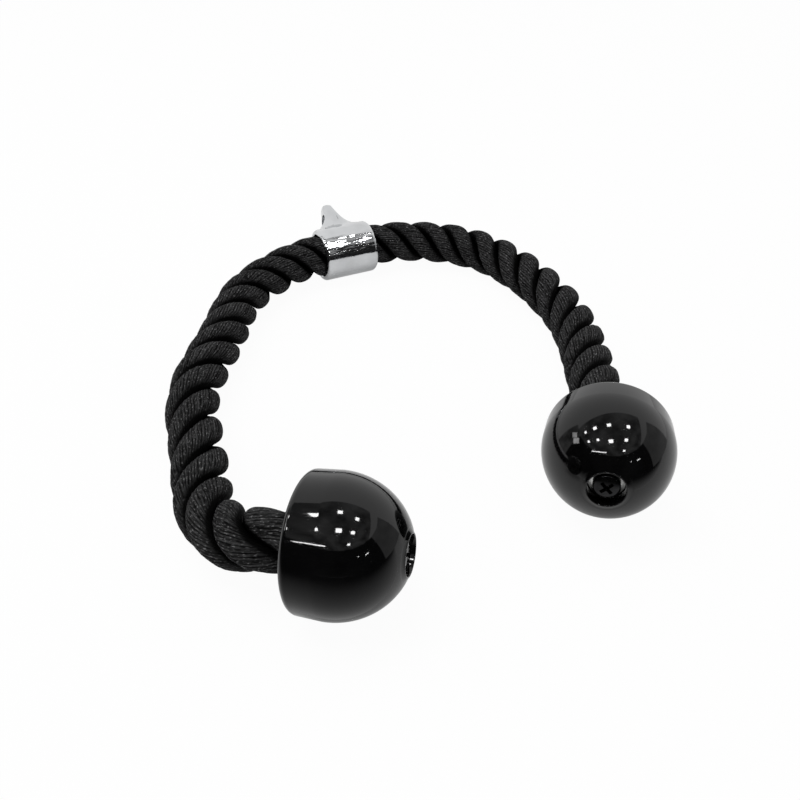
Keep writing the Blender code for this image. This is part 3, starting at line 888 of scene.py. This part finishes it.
    def build(self, finish: bpy.types.Material) -> bpy.types.Object:
        line = self.centre_line()
        run = distance_along(line)
        rings, sides = len(line), self.yarns * self.yarn_points
        points, quads, caps, groove_shades = [], [], [], []
        for number in range(3):
            start = sum(len(p) for p in points)
            grid, groove_shade = self.strand(number, line, run)
            points += [grid.reshape(-1, 3), grid[[0, -1]].mean(axis=1)]
            groove_shades += [groove_shade.ravel(), np.ones(2)]
            quads.append(grid_faces(rings, sides, Shell.OPEN) + start)
            middle = start + rings * sides
            caps.append(cap_faces(middle, start, sides, True))
            caps.append(cap_faces(middle + 1, start + (rings - 1) * sides, sides, False))
        quads, caps = np.concatenate(quads), np.concatenate(caps)
        uv = np.concatenate([self.quad_uv(rings, sides, run), np.zeros((caps.size, 2))])
        name = f"rope_{self.side.value}"
        mesh = mesh_from(name, np.concatenate(points), [quads[:, ::-1], caps[:, ::-1]], uv)
        groove_shade = mesh.attributes.new("groove_shade", "FLOAT", "POINT")
        groove_shade.data.foreach_set("value", np.concatenate(groove_shades).astype(np.float32))
        piece = piece_from(name, mesh, finish)
        self.place(piece, line, run)
        return piece

    def quad_uv(self, rings: int, sides: int, run: np.ndarray) -> np.ndarray:
        """UV pairs of the quads' corners: u counts yarns round a strand, v is the distance along."""
        ring, side = np.meshgrid(np.arange(rings - 1), np.arange(sides), indexing="ij")
        u = np.stack([side, side + 1, side + 1, side], axis=-1) / self.yarn_points
        v = np.stack([run[ring], run[ring], run[ring + 1], run[ring + 1]], axis=-1)
        one = np.stack([u, v], axis=-1)[..., ::-1, :].reshape(-1, 2)
        shifted = [one + np.array([number * (self.yarns + 3), 0]) for number in range(3)]
        return np.concatenate(shifted)

    def place(self, piece: bpy.types.Object, line: np.ndarray, run: np.ndarray) -> None:
        """Hides the CAD source's rope pieces and bakes the piece's place into its mesh. It gets no weights and
        rides on no arm's body, so it doesn't follow the arms; this fault isn't mended.
        """
        side = self.side.value
        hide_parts(f"rope_{side}_bend", f"rope_{side}_arm", f"rope_{side}_end")
        if self.side is Side.LEFT:
            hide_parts("rope_centre")
        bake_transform(piece)


# Ball ends


@dataclass
class BallEnd:
    """A turned plastic ball end: flat back with a deep bore, drum, elliptical dome and a lipped recess."""

    side: Side
    dome: float = 0.0320
    bore_radius: float = 0.01405
    bore_depth: float = 0.0319
    bore_chamfer: float = 0.0010
    web: float = 0.0055
    lip_radius: float = 0.0087
    lip_width: float = 0.0006
    lip_height: float = 0.0003
    lip_foot: float = 0.0112
    foot_power: float = 1.3
    mouth_radius: float = 0.0084
    recess_radius: float = 0.0082
    recess_bevel: float = 0.0006
    screw_hole: float = 0.0029
    steps: int = 160
    dome_steps: int = 56
    arc_steps: int = 10
    sharp_angle: float = 28.0    # edges that turn more than this stay crisp

    def dome_height(self, radius: float) -> float:
        """Height over the flat back at a radius: half an ellipse over the drum."""
        place = BALL_PLACES[self.side]
        return place.drum + self.dome * math.sqrt(1 - (radius / place.radius) ** 2)

    def profile(self) -> np.ndarray:
        """Closed section from the bore's mouth over the back's edge, the dome and the lip to the recess."""
        place = BALL_PLACES[self.side]
        back = place.back_share * place.radius
        flat = back - place.edge
        rows = [np.array([[self.bore_radius + self.bore_chamfer, 0], [flat, 0]])]
        rows.append(bowed((flat, 0), (back, place.edge), (flat, place.edge), self.arc_steps))
        foot = math.acos(self.lip_foot / place.radius)
        angle = np.linspace(0, foot, self.dome_steps)
        rows.append(np.stack([place.radius * np.cos(angle), place.drum + self.dome * np.sin(angle)], axis=1))
        crest = self.dome_height(self.lip_radius) + self.lip_height
        outer = self.lip_radius + self.lip_width / 2
        start = self.dome_height(self.lip_foot)
        share = np.linspace(0, 1, self.arc_steps + 1)[1:]
        rise = (crest - self.lip_width / 4 - start) * share ** self.foot_power
        rows.append(np.stack([self.lip_foot + (outer - self.lip_foot) * share, start + rise], axis=1))
        round_top = np.linspace(0, math.pi, self.arc_steps + 1)[1:]
        half = (outer - self.mouth_radius) / 2
        rows.append(np.stack([self.mouth_radius + half + half * np.cos(round_top),
                              crest - self.lip_width / 4 + self.lip_width / 4 * np.sin(round_top)], axis=1))
        floor = self.bore_depth + self.web
        rows.append(np.array([
            [self.recess_radius, crest - self.recess_bevel], [self.recess_radius, floor],
            [self.screw_hole, floor], [self.screw_hole, self.bore_depth],
            [self.bore_radius, self.bore_depth], [self.bore_radius, self.bore_chamfer]]))
        return np.vstack(rows)

    def build(self, finish: bpy.types.Material) -> bpy.types.Object:
        """Makes the ball end in place of its CAD solid."""
        name = f"ball_end_{self.side.value}"
        mesh = revolved(name, self.profile(), self.steps, BALL_PLACES[self.side].matrix())
        mesh.set_sharp_from_angle(angle=math.radians(self.sharp_angle))
        piece = piece_from(name, mesh, finish)
        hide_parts(f"ball_{self.side.value}")
        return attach(piece, self.side.body)


@dataclass
class Fixing:
    """What holds a ball end: a pan head screw with a cross slot, and the wide washer under its head."""

    side: Side
    floor: float = 0.03745       # the recess's floor, over the ball's flat back
    washer_radius: float = 0.0080
    washer_thickness: float = 0.0009
    washer_bevel: float = 0.0002
    head_radius: float = 0.00595
    head_height: float = 0.0050
    head_edge: float = 0.0035    # straight side of the head below its dome
    shank_radius: float = 0.0025
    shank_length: float = 0.0250
    point_length: float = 0.0040
    heart_radius: float = 0.00002  # at the axis, in place of 0, which would lay points on one another
    play: float = 0.00005        # between the washer and the shank, and between the head and the washer
    slot_width: float = 0.0018
    slot_span: float = 0.0076
    slot_depth: float = 0.0028
    slot_taper: float = 0.55     # size of the slot's floor, of its mouth
    slot_turn: float = 45.0
    slot_over: float = 0.0005    # how far the cutting shape stands out over the head
    sharp_angle: float = 32.0
    dome_steps: int = 16
    steps: int = 96

    SLOTS = {"screw": "black_screw", "washer": "washer_steel"}

    def washer(self, finish: bpy.types.Material) -> bpy.types.Object:
        """Makes the washer in place of its CAD solid."""
        hole, top, bevel = self.shank_radius + self.play, self.washer_thickness, self.washer_bevel
        outer = self.washer_radius
        profile = np.array([[hole, 0], [outer, 0], [outer, top - bevel], [outer - bevel, top], [hole, top]])
        return self.fitted("washer", profile, self.floor, finish)

    def screw(self, finish: bpy.types.Material) -> bpy.types.Object:
        """Makes the screw in place of its CAD solid, with its head on the washer, and cuts the cross."""
        turn = np.linspace(math.pi / 2, 0, self.dome_steps + 1)
        drop = self.head_height - self.head_edge
        dome = np.stack([self.head_radius * np.cos(turn), self.head_edge + drop * np.sin(turn)], axis=1)
        dome[0, 0] = self.heart_radius
        rest = [[self.head_radius, 0], [self.shank_radius, 0],
                [self.shank_radius, self.point_length - self.shank_length],
                [self.heart_radius, -self.shank_length]]
        seat = self.floor + self.washer_thickness + self.play
        piece = self.fitted("screw", np.vstack([dome, rest]), seat, finish)
        for turn in (self.slot_turn, self.slot_turn + 90):
            place = self.place(seat) @ Matrix.Rotation(math.radians(turn), 4, "Z")
            carve(piece, *self.slot(place))
        piece.data.set_sharp_from_angle(angle=math.radians(self.sharp_angle))
        return piece

    def place(self, height: float) -> Matrix:
        """The ball's axis at a height over its flat back, in the row frame."""
        return BALL_PLACES[self.side].matrix() @ Matrix.Translation((0, 0, height))

    def fitted(
        self, kind: str, profile: np.ndarray, height: float, finish: bpy.types.Material
    ) -> bpy.types.Object:
        """A turned piece on the ball's axis, in place of the CAD solid of its kind."""
        name = f"{kind}_{self.side.value}"
        mesh = revolved(f"dressed_{name}", profile, self.steps, self.place(height))
        mesh.set_sharp_from_angle(angle=math.radians(self.sharp_angle))
        piece = piece_from(f"dressed_{name}", mesh, finish)
        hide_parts(name)
        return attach(piece, self.side.body)

    def slot(self, place: Matrix) -> tuple[np.ndarray, list[np.ndarray]]:
        """Points and faces of one tapered arm of the cross slot, standing out a little over the head."""
        square = np.array([(-1, -1), (1, -1), (1, 1), (-1, 1)]) / 2 * (self.slot_span, self.slot_width)
        low = np.hstack([square * self.slot_taper, np.full((4, 1), self.head_height - self.slot_depth)])
        high = np.hstack([square, np.full((4, 1), self.head_height + self.slot_over)])
        faces = [[0, 3, 2, 1], [4, 5, 6, 7], [0, 1, 5, 4], [1, 2, 6, 5], [2, 3, 7, 6], [3, 0, 4, 7]]
        return placed(np.vstack([low, high]), place), [np.array(faces)]


# Collar


@dataclass
class Collar:
    """The plated collar: a short tube round the rope whose wall rises into a tall eye at mid length."""

    length: float = 0.0372
    bore_radius: float = 0.01415
    wall: float = 0.00315
    edge_radius: float = 0.0023
    mouth_flare: float = 0.0005
    eye_bore: float = 0.0118
    eye_rim: float = 0.0067
    eye_reach: float = 0.0246
    eye_half_width: float = 0.0068
    eye_half_thickness: float = 0.0026
    eye_wedge: float = 0.0048
    eye_crown: float = 0.0008
    mouth_radius: float = 0.1200
    mouth_turn: float = 6.2
    eye_offset: float = -0.0011
    lean: float = 59.0
    spread_share: float = 0.60
    hollow_share: float = 0.46
    shoulder_power: float = 4.2
    tail_share: float = 0.012
    flank_rings: int = 40
    edge_rings: int = 8
    crown_rings: int = 5
    steps: int = 220
    even_share: float = 0.42     # of the steps' spacing; the rest gathers them at the eye
    edge_gap: float = 0.0001     # at least this between the flank's last ring and the edge's first
    hole_steps: int = 96
    flare_steps: int = 15
    sharp_angle: float = 38.0

    def place(self) -> Matrix:
        """The collar's middle in the row frame, with the eye's lean."""
        middle = Matrix.Translation((COLLAR_X, COLLAR_Y, COLLAR_RADIUS))
        return middle @ Matrix.Rotation(-math.radians(self.lean), 4, "X")

    def eye_height(self) -> float:
        """Height of the eye's top over the tube."""
        return self.eye_reach + self.eye_bore / 2 + self.eye_rim - (self.bore_radius + self.wall)

    def stations(self) -> np.ndarray:
        """(place along the collar, outer radius, height of the eye's ridge) from one end to the other.

        The flank is a straight wedge plus a hollow superellipse: sin(a)^(2/p) across and cos(a)^(2/p) up.
        """
        half, radius, height = self.length / 2, self.bore_radius + self.wall, self.eye_height()
        share = np.linspace(0, 1, self.crown_rings + 1)[:-1]
        crown = np.stack([share * self.eye_half_thickness, np.full(len(share), radius),
                          height - self.eye_crown * share ** 2], axis=1)
        angle = np.linspace(0, math.pi / 2, self.flank_rings + 1)
        power = 2 / self.hollow_share
        rise, run = np.cos(angle) ** power, half - self.eye_half_thickness - self.eye_wedge
        along = self.eye_half_thickness + self.eye_wedge * (1 - rise) + run * np.sin(angle) ** power
        up = (height - self.eye_crown) * rise
        start = half - self.edge_radius
        flank = np.stack([along, np.full(len(along), radius), up], axis=1)[along < start - self.edge_gap]
        turn = np.linspace(0, math.pi / 2, self.edge_rings + 1)
        x = start + self.edge_radius * np.sin(turn)
        edge = np.stack([x, radius - self.edge_radius * (1 - np.cos(turn)), np.interp(x, along, up)], axis=1)
        right = np.vstack([crown, flank, edge])
        both = np.vstack([right[:0:-1] * (-1, 1, 1), right])
        both[:, 0] += self.eye_offset * (1 - np.abs(both[:, 0]) / half)
        return both

    def angles(self) -> np.ndarray:
        """Angles round the rope, closer together where the eye's sides are steep."""
        even = np.linspace(-1, 1, self.steps, endpoint=False)
        return math.pi * (self.even_share * even + (1 - self.even_share) * even ** 3)

    def build(self, finish: bpy.types.Material) -> bpy.types.Object:
        """Makes the collar in place of its CAD solid.

        Its outer reach at an angle is radius + height / (1 + (angle / half angle)^power), less the tail.
        """
        station, angle, height = self.stations(), self.angles(), self.eye_height()
        lug = math.asin(self.eye_half_width / self.eye_reach)
        half_angle = lug * (1 + self.spread_share * (1 - station[:, 2:] / height))
        rise = 1 / (1 + (np.abs(angle) / half_angle) ** self.shoulder_power) - self.tail_share
        outer = station[:, 1:2] + station[:, 2:] * np.maximum(0, rise) / (1 - self.tail_share)
        half, flare = self.length / 2, self.mouth_flare
        mouth = np.array([[half, flare], [half - flare, flare / 3], [half - 2 * flare, 0]])
        bore = np.vstack([mouth, mouth[::-1] * (-1, 1)])
        inner = np.repeat(self.bore_radius + bore[:, 1:], len(angle), axis=1)
        reach = np.vstack([outer, inner])
        x = np.concatenate([station[:, 0], bore[:, 0]])
        across = np.repeat(x[:, None], len(angle), axis=1)
        grid = np.stack([across, reach * np.sin(angle), reach * np.cos(angle)], axis=-1)
        points = placed(grid.reshape(-1, 3), self.place())
        faces = grid_faces(len(x), len(angle), Shell.RING)
        name = "collar_and_eye"
        piece = piece_from(name, mesh_from(name, points, [faces]), finish)
        self.pierce(piece)
        piece.data.set_sharp_from_angle(angle=math.radians(self.sharp_angle))
        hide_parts("collar_with_eye")
        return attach(piece, "collar")

    def pierce(self, piece: bpy.types.Object) -> None:
        """Cuts the eye's hole, round in the middle and flared at both faces."""
        radius = self.eye_bore / 2
        centre = (radius + self.mouth_radius, self.eye_half_thickness / 2)
        angle = np.radians(np.linspace(180, 180 - self.mouth_turn, self.flare_steps))
        side = np.stack([centre[0] + self.mouth_radius * np.cos(angle),
                         centre[1] + self.mouth_radius * np.sin(angle)], axis=1)
        section = np.vstack([side[::-1] * (1, -1), side])
        steps = self.hole_steps
        around = np.linspace(0, TURN, steps, endpoint=False)
        ring = np.stack([np.outer(section[:, 0], np.cos(around)), np.outer(section[:, 0], np.sin(around)),
                         np.repeat(section[:, 1:], steps, axis=1)], axis=-1)
        along = self.place() @ Matrix.Translation((self.eye_offset, 0, self.eye_reach))
        along = along @ Matrix.Rotation(math.pi / 2, 4, "Y")
        ends = np.array([[0, 0, section[0, 1]], [0, 0, section[-1, 1]]])
        points = placed(np.vstack([ring.reshape(-1, 3), ends]), along)
        count = len(section)
        caps = np.vstack([cap_faces(count * steps, 0, steps, True),
                          cap_faces(count * steps + 1, (count - 1) * steps, steps, False)])
        carve(piece, points, [grid_faces(count, steps, Shell.OPEN), caps])


# Studio


@dataclass
class PhotoCamera:
    """The photograph's camera: place, heading from +X, pitch below the horizon, focal length in pixels."""

    place: tuple = (-0.1653, -0.3546, 0.2700)
    heading: float = 64.0
    pitch: float = 36.0
    focal_pixels: float = 827.0
    picture_pixels: float = 800.0
    sensor: float = 36.0

    def build(self) -> None:
        """Adds the camera and makes it the scene's."""
        data = bpy.data.cameras.new("camera")
        data.sensor_width = self.sensor
        data.lens = self.focal_pixels / self.picture_pixels * self.sensor
        data.clip_start, data.clip_end = 0.01, 50.0
        camera = bpy.data.objects.new("camera", data)
        camera.location = self.place
        camera.rotation_euler = (math.radians(90 - self.pitch), 0, math.radians(self.heading - 90))
        bpy.context.scene.collection.objects.link(camera)
        bpy.context.scene.camera = camera


@dataclass(frozen=True)
class RoomCard:
    """Finish of a card that stands for the dim room or a lamp: only glossy rays see it."""

    name: str
    light: float
    unevenness: float = 0.0
    patches: float = 2.2         # to a metre

    def build(self) -> bpy.types.Material:
        """The material: a plain glow, with soft patches where it is uneven."""
        made, make = bare_material(self.name)
        patches = make.noise(make.add("ShaderNodeTexCoord").outputs["Object"], self.patches)
        dim, full = self.light * (1 - self.unevenness), self.light * (1 + self.unevenness)
        glow = make.glow(make.spread(patches, 0.35, 0.65, dim, full))
        made.node_tree.links.new(glow, surface_of(made))
        return made


@dataclass
class Studio:
    """Pale floor, white surroundings, soft lamps, and the dim room that the gloss shows towards the camera.

    Places in the room are given from the middle between the ball ends: to the camera's right, back towards
    the camera, and up.
    """

    floor_size: float = 12.0
    floor_white: float = 0.96    # share of plain white that the camera sees in the floor
    floor_mirrored: float = 0.3  # and that the gloss shows
    world_light: float = 0.55
    middle: tuple = (-0.0196, -0.1346, 0.0300)
    heading: float = 64.0
    ceiling_height: float = 1.20
    wall_distance: float = 1.60
    lamp_light: float = 38.0
    window_light: float = 6.0
    table_edge: float = 0.055    # back from the middle, where the pale table starts to darken
    table_fade: float = 0.060    # over this distance its light falls to 37 %
    table_light: float = 0.78    # of the table at that edge
    table_least: float = 0.02    # added all over it
    wall_foot: float = -0.025
    table_lift: float = 0.0004   # of the mirrored table over the floor

    def floor(self) -> None:
        """A pale floor that looks white to the camera and keeps a faint shadow."""
        made, make, shader = fresh_material("pale_floor")
        link = made.node_tree.links.new
        shader.inputs["Base Color"].default_value = (0.86, 0.86, 0.86, 1)
        shader.inputs["Roughness"].default_value = 0.9
        path = make.add("ShaderNodeLightPath")
        mirrored = make.math("MULTIPLY", path.outputs["Is Glossy Ray"], self.floor_mirrored)
        seen = make.math("MULTIPLY", path.outputs["Is Camera Ray"], self.floor_white)
        share = make.math("ADD", seen, mirrored)
        mix = make.add("ShaderNodeMixShader", {0: share, 1: shader.outputs[0], 2: make.glow(1.0)})
        link(mix.outputs[0], surface_of(made))
        half = self.floor_size / 2
        corners = np.array([[-half, -half, 0], [half, -half, 0], [half, half, 0], [-half, half, 0]], float)
        floor = piece_from("floor", mesh_from("floor", corners, [np.array([[0, 1, 2, 3]])]), made)

    def surroundings(self) -> None:
        """A world that is white to camera, glossy and transmission rays and lights the rest evenly."""
        world = bpy.data.worlds.new("surroundings")
        bpy.context.scene.world = world
        world.use_nodes = True
        make = Nodes(world.node_tree)
        path = make.add("ShaderNodeLightPath")
        seen = make.math("ADD", path.outputs["Is Camera Ray"], path.outputs["Is Glossy Ray"])
        seen = make.math("ADD", seen, path.outputs["Is Transmission Ray"], clamp=True)
        strength = make.spread(seen, 0.0, 1.0, self.world_light, 1.0)
        background = world.node_tree.nodes["Background"]
        background.inputs["Color"].default_value = WHITE
        world.node_tree.links.new(strength, background.inputs["Strength"])

    def lamp(self, name: str, place: tuple, aim: tuple, size: float, power: float) -> None:
        """One square area lamp that shines from place towards aim."""
        data = bpy.data.lights.new(name, "AREA")
        data.shape, data.size, data.energy = "SQUARE", size, power
        lamp = bpy.data.objects.new(name, data)
        lamp.location = place
        lamp.rotation_euler = (Vector(aim) - Vector(place)).to_track_quat("-Z", "Y").to_euler()
        lamp.visible_glossy = False
        bpy.context.scene.collection.objects.link(lamp)

    def back(self) -> tuple[float, float, float]:
        """Direction towards the camera, level."""
        turn = math.radians(self.heading)
        return -math.cos(turn), -math.sin(turn), 0

    def from_room(self, places: list) -> np.ndarray:
        """Places given to the right, back and up, in the row frame."""
        x, y, _ = self.back()
        return np.array(self.middle) + np.array(places, float) @ np.array([[-y, x, 0], [x, y, 0], [0, 0, 1]])

    def card(self, name: str, corners: list, finish: bpy.types.Material) -> None:
        """One flat card that only glossy rays see."""
        mesh = mesh_from(name, self.from_room(corners), [np.arange(len(corners))[None]])
        card = piece_from(name, mesh, finish)
        card.visible_camera = card.visible_diffuse = card.visible_shadow = card.visible_transmission = False

    def dim_table(self) -> bpy.types.Material:
        """The table's front part as the gloss shows it: pale near the object, fading into the dim room."""
        made, make = bare_material("dim_table")
        where = make.add("ShaderNodeTexCoord").outputs["Object"]
        back = self.back()
        along = make.vector("DOT_PRODUCT", where, back).outputs["Value"]
        start = sum(a * b for a, b in zip(self.middle, back)) + self.table_edge
        faded = make.math("DIVIDE", make.math("SUBTRACT", start, along), self.table_fade)
        light = make.math("MULTIPLY", make.math("POWER", math.e, faded), self.table_light)
        glow = make.glow(make.math("ADD", light, self.table_least))
        made.node_tree.links.new(glow, surface_of(made))
        return made

    def room(self) -> None:
        """The dim room: a grey ceiling, dark and grey walls, and the lamps on the ceiling."""
        top, far = self.ceiling_height, self.wall_distance
        grey = RoomCard("room_ceiling", 0.32, 0.6).build()
        ceiling = [(-2.6, -0.46, top), (1.0, -0.46, top), (1.6, far, top), (-2.6, far, top)]
        self.card("room_ceiling", ceiling, grey)
        dark = RoomCard("room_dark", 0.020, 0.5).build()
        near, low = self.table_edge, self.table_lift - self.middle[2]
        table = [(-1.6, near, low), (1.6, near, low), (1.6, far, low), (-1.6, far, low)]
        self.card("room_table", table, self.dim_table())
        wall = RoomCard("room_grey", 0.42, 0.15).build()
        panels = [(-117, -92, grey), (-92, 67, dark), (67, 108, wall)]
        for number, (start, end, finish) in enumerate(panels):
            steps = max(2, round((end - start) / 20) + 1)
            edges = np.radians(np.linspace(start, end, steps))
            for part, (a, b) in enumerate(zip(edges, edges[1:])):
                foot = [(far * math.sin(x), far * math.cos(x), self.wall_foot) for x in (a, b)]
                head = [(x, y, top) for x, y, _ in reversed(foot)]
                self.card(f"room_wall_{number}_{part}", foot + head, finish)
        bright = RoomCard("lamp_panel", self.lamp_light).build()
        for number, (right, back, up, wide, deep) in enumerate(self.panel_lamps()):
            corners = [(right + x * wide / 2, back + y * deep / 2, up)
                       for x, y in ((-1, -1), (1, -1), (1, 1), (-1, 1))]
            self.card(f"lamp_panel_{number}", corners, bright)
        pane = RoomCard("window_pane", self.window_light, 0.3).build()
        for number, corners in enumerate(self.window_panes()):
            self.card(f"window_pane_{number}", corners, pane)
        for number, corners in enumerate(self.slanted_lamps()):
            self.card(f"slanted_lamp_{number}", corners, bright)

    def panel_lamps(self) -> list:
        """The ceiling's lamps: right, back, up, width and depth."""
        return [
            (-0.009, -0.010, 0.54, 0.055, 0.045),
            (-0.018, 0.243, 0.49, 0.070, 0.060),
            (0.437, 0.518, 1.07, 0.120, 0.110),
            (0.541, 0.055, 1.18, 0.120, 0.110),
            (-0.589, -0.029, 1.18, 0.140, 0.110),
            (-1.090, -0.049, 1.18, 0.130, 0.110),
            (-0.635, 0.476, 1.18, 0.110, 0.110),
            (-1.166, 0.442, 1.18, 0.130, 0.120),
            (0.452, 1.131, 1.18, 0.110, 0.110),
        ]

    def window_panes(self) -> list:
        """Corners of the two window panes high on the left wall."""
        return [
            [(-1.477, -0.472, 0.770), (-1.513, -0.335, 1.032), (-1.546, -0.105, 0.929),
             (-1.527, -0.264, 0.691)],
            [(-1.536, -0.209, 0.732), (-1.550, -0.010, 1.027), (-1.535, 0.215, 0.855),
             (-1.550, -0.002, 0.599)],
        ]

    def slanted_lamps(self) -> list:
        """Corners of the long lamp at the back of the ceiling and of two small ones on the right wall."""
        return [
            [(-1.215, 0.945, 1.062), (-0.450, 1.220, 1.18), (-0.450, 1.280, 1.18), (-1.215, 1.000, 1.062)],
            [(1.024, 1.163, 0.617), (1.146, 1.044, 0.631), (1.146, 1.044, 0.655), (1.024, 1.163, 0.641)],
            [(0.770, 1.345, 0.675), (0.810, 1.320, 0.675), (0.810, 1.320, 0.695), (0.770, 1.345, 0.695)],
        ]

    def build(self) -> None:
        """Adds the floor, the surroundings, the room and the lamps."""
        self.floor()
        self.surroundings()
        self.room()
        self.lamp("top_lamp", (-0.4, 0.3, 1.6), (0, 0, 0), 1.2, 14.0)
        bpy.context.scene.view_settings.view_transform = "Standard"


def main() -> None:
    """Builds the camera, the cords, every other piece and the studio, and reports each piece."""
    logging.basicConfig(level=logging.INFO, format="%(message)s")
    PhotoCamera().build()
    fibre = RopeFibre().build()
    ropes = (
        LaidRope(Side.LEFT, LEFT_ROUTE, -243.0,
                 [(0, 0.054), (0.060, 0.068), (0.120, 0.065), (0.180, 0.079), (0.215, 0.076),
                  (0.240, 0.072), (0.254, 0.052), (0.268, 0.071), (0.284, 0.077), (0.298, 0.056),
                  (0.306, 0.064), (0.318, 0.088), (0.330, 0.090)]),
        LaidRope(Side.RIGHT, RIGHT_ROUTE, 107.0,
                 [(0, 0.061), (0.060, 0.058), (0.110, 0.0685), (0.160, 0.078), (0.210, 0.069),
                  (0.310, 0.090)]),
    )
    for rope in ropes:
        piece = rope.build(fibre)
        log.info("%s: %d faces, free length %.3f m", piece.name, len(piece.data.polygons), rope.free_end())
    plastic = GlossPlastic().build()
    for side in Side:
        piece = BallEnd(side).build(plastic)
        log.info("%s: %d faces", piece.name, len(piece.data.polygons))
    piece = Collar().build(ChromePlate().build())
    log.info("%s: %d faces", piece.name, len(piece.data.polygons))
    black = PlainFinish("black_screw", (0.022, 0.022, 0.023), 0.10, 0.9, 0.000006).build()
    steel = PlainFinish("washer_steel", (0.60, 0.60, 0.59), 0.24, 1.0).build()
    for side in Side:
        for piece in (Fixing(side).screw(black), Fixing(side).washer(steel)):
            log.info("%s: %d faces", piece.name, len(piece.data.polygons))
    finishes = {
        "plug": PlainFinish("plug_nylon", (0.72, 0.70, 0.64), 0.5, 0.0),
        "whipping": PlainFinish("whipping_tape", (0.03, 0.03, 0.032), 0.5, 0.0),
    }
    for kind, finish in finishes.items():
        made = finish.build()
        for side in Side:
            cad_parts[f"{kind}_{side.value}"].material_slots[0].material = made
            log.info("%s_%s: %s", kind, side.value, made.name)
    Studio().build()


if __name__ == "__main__":
    main()
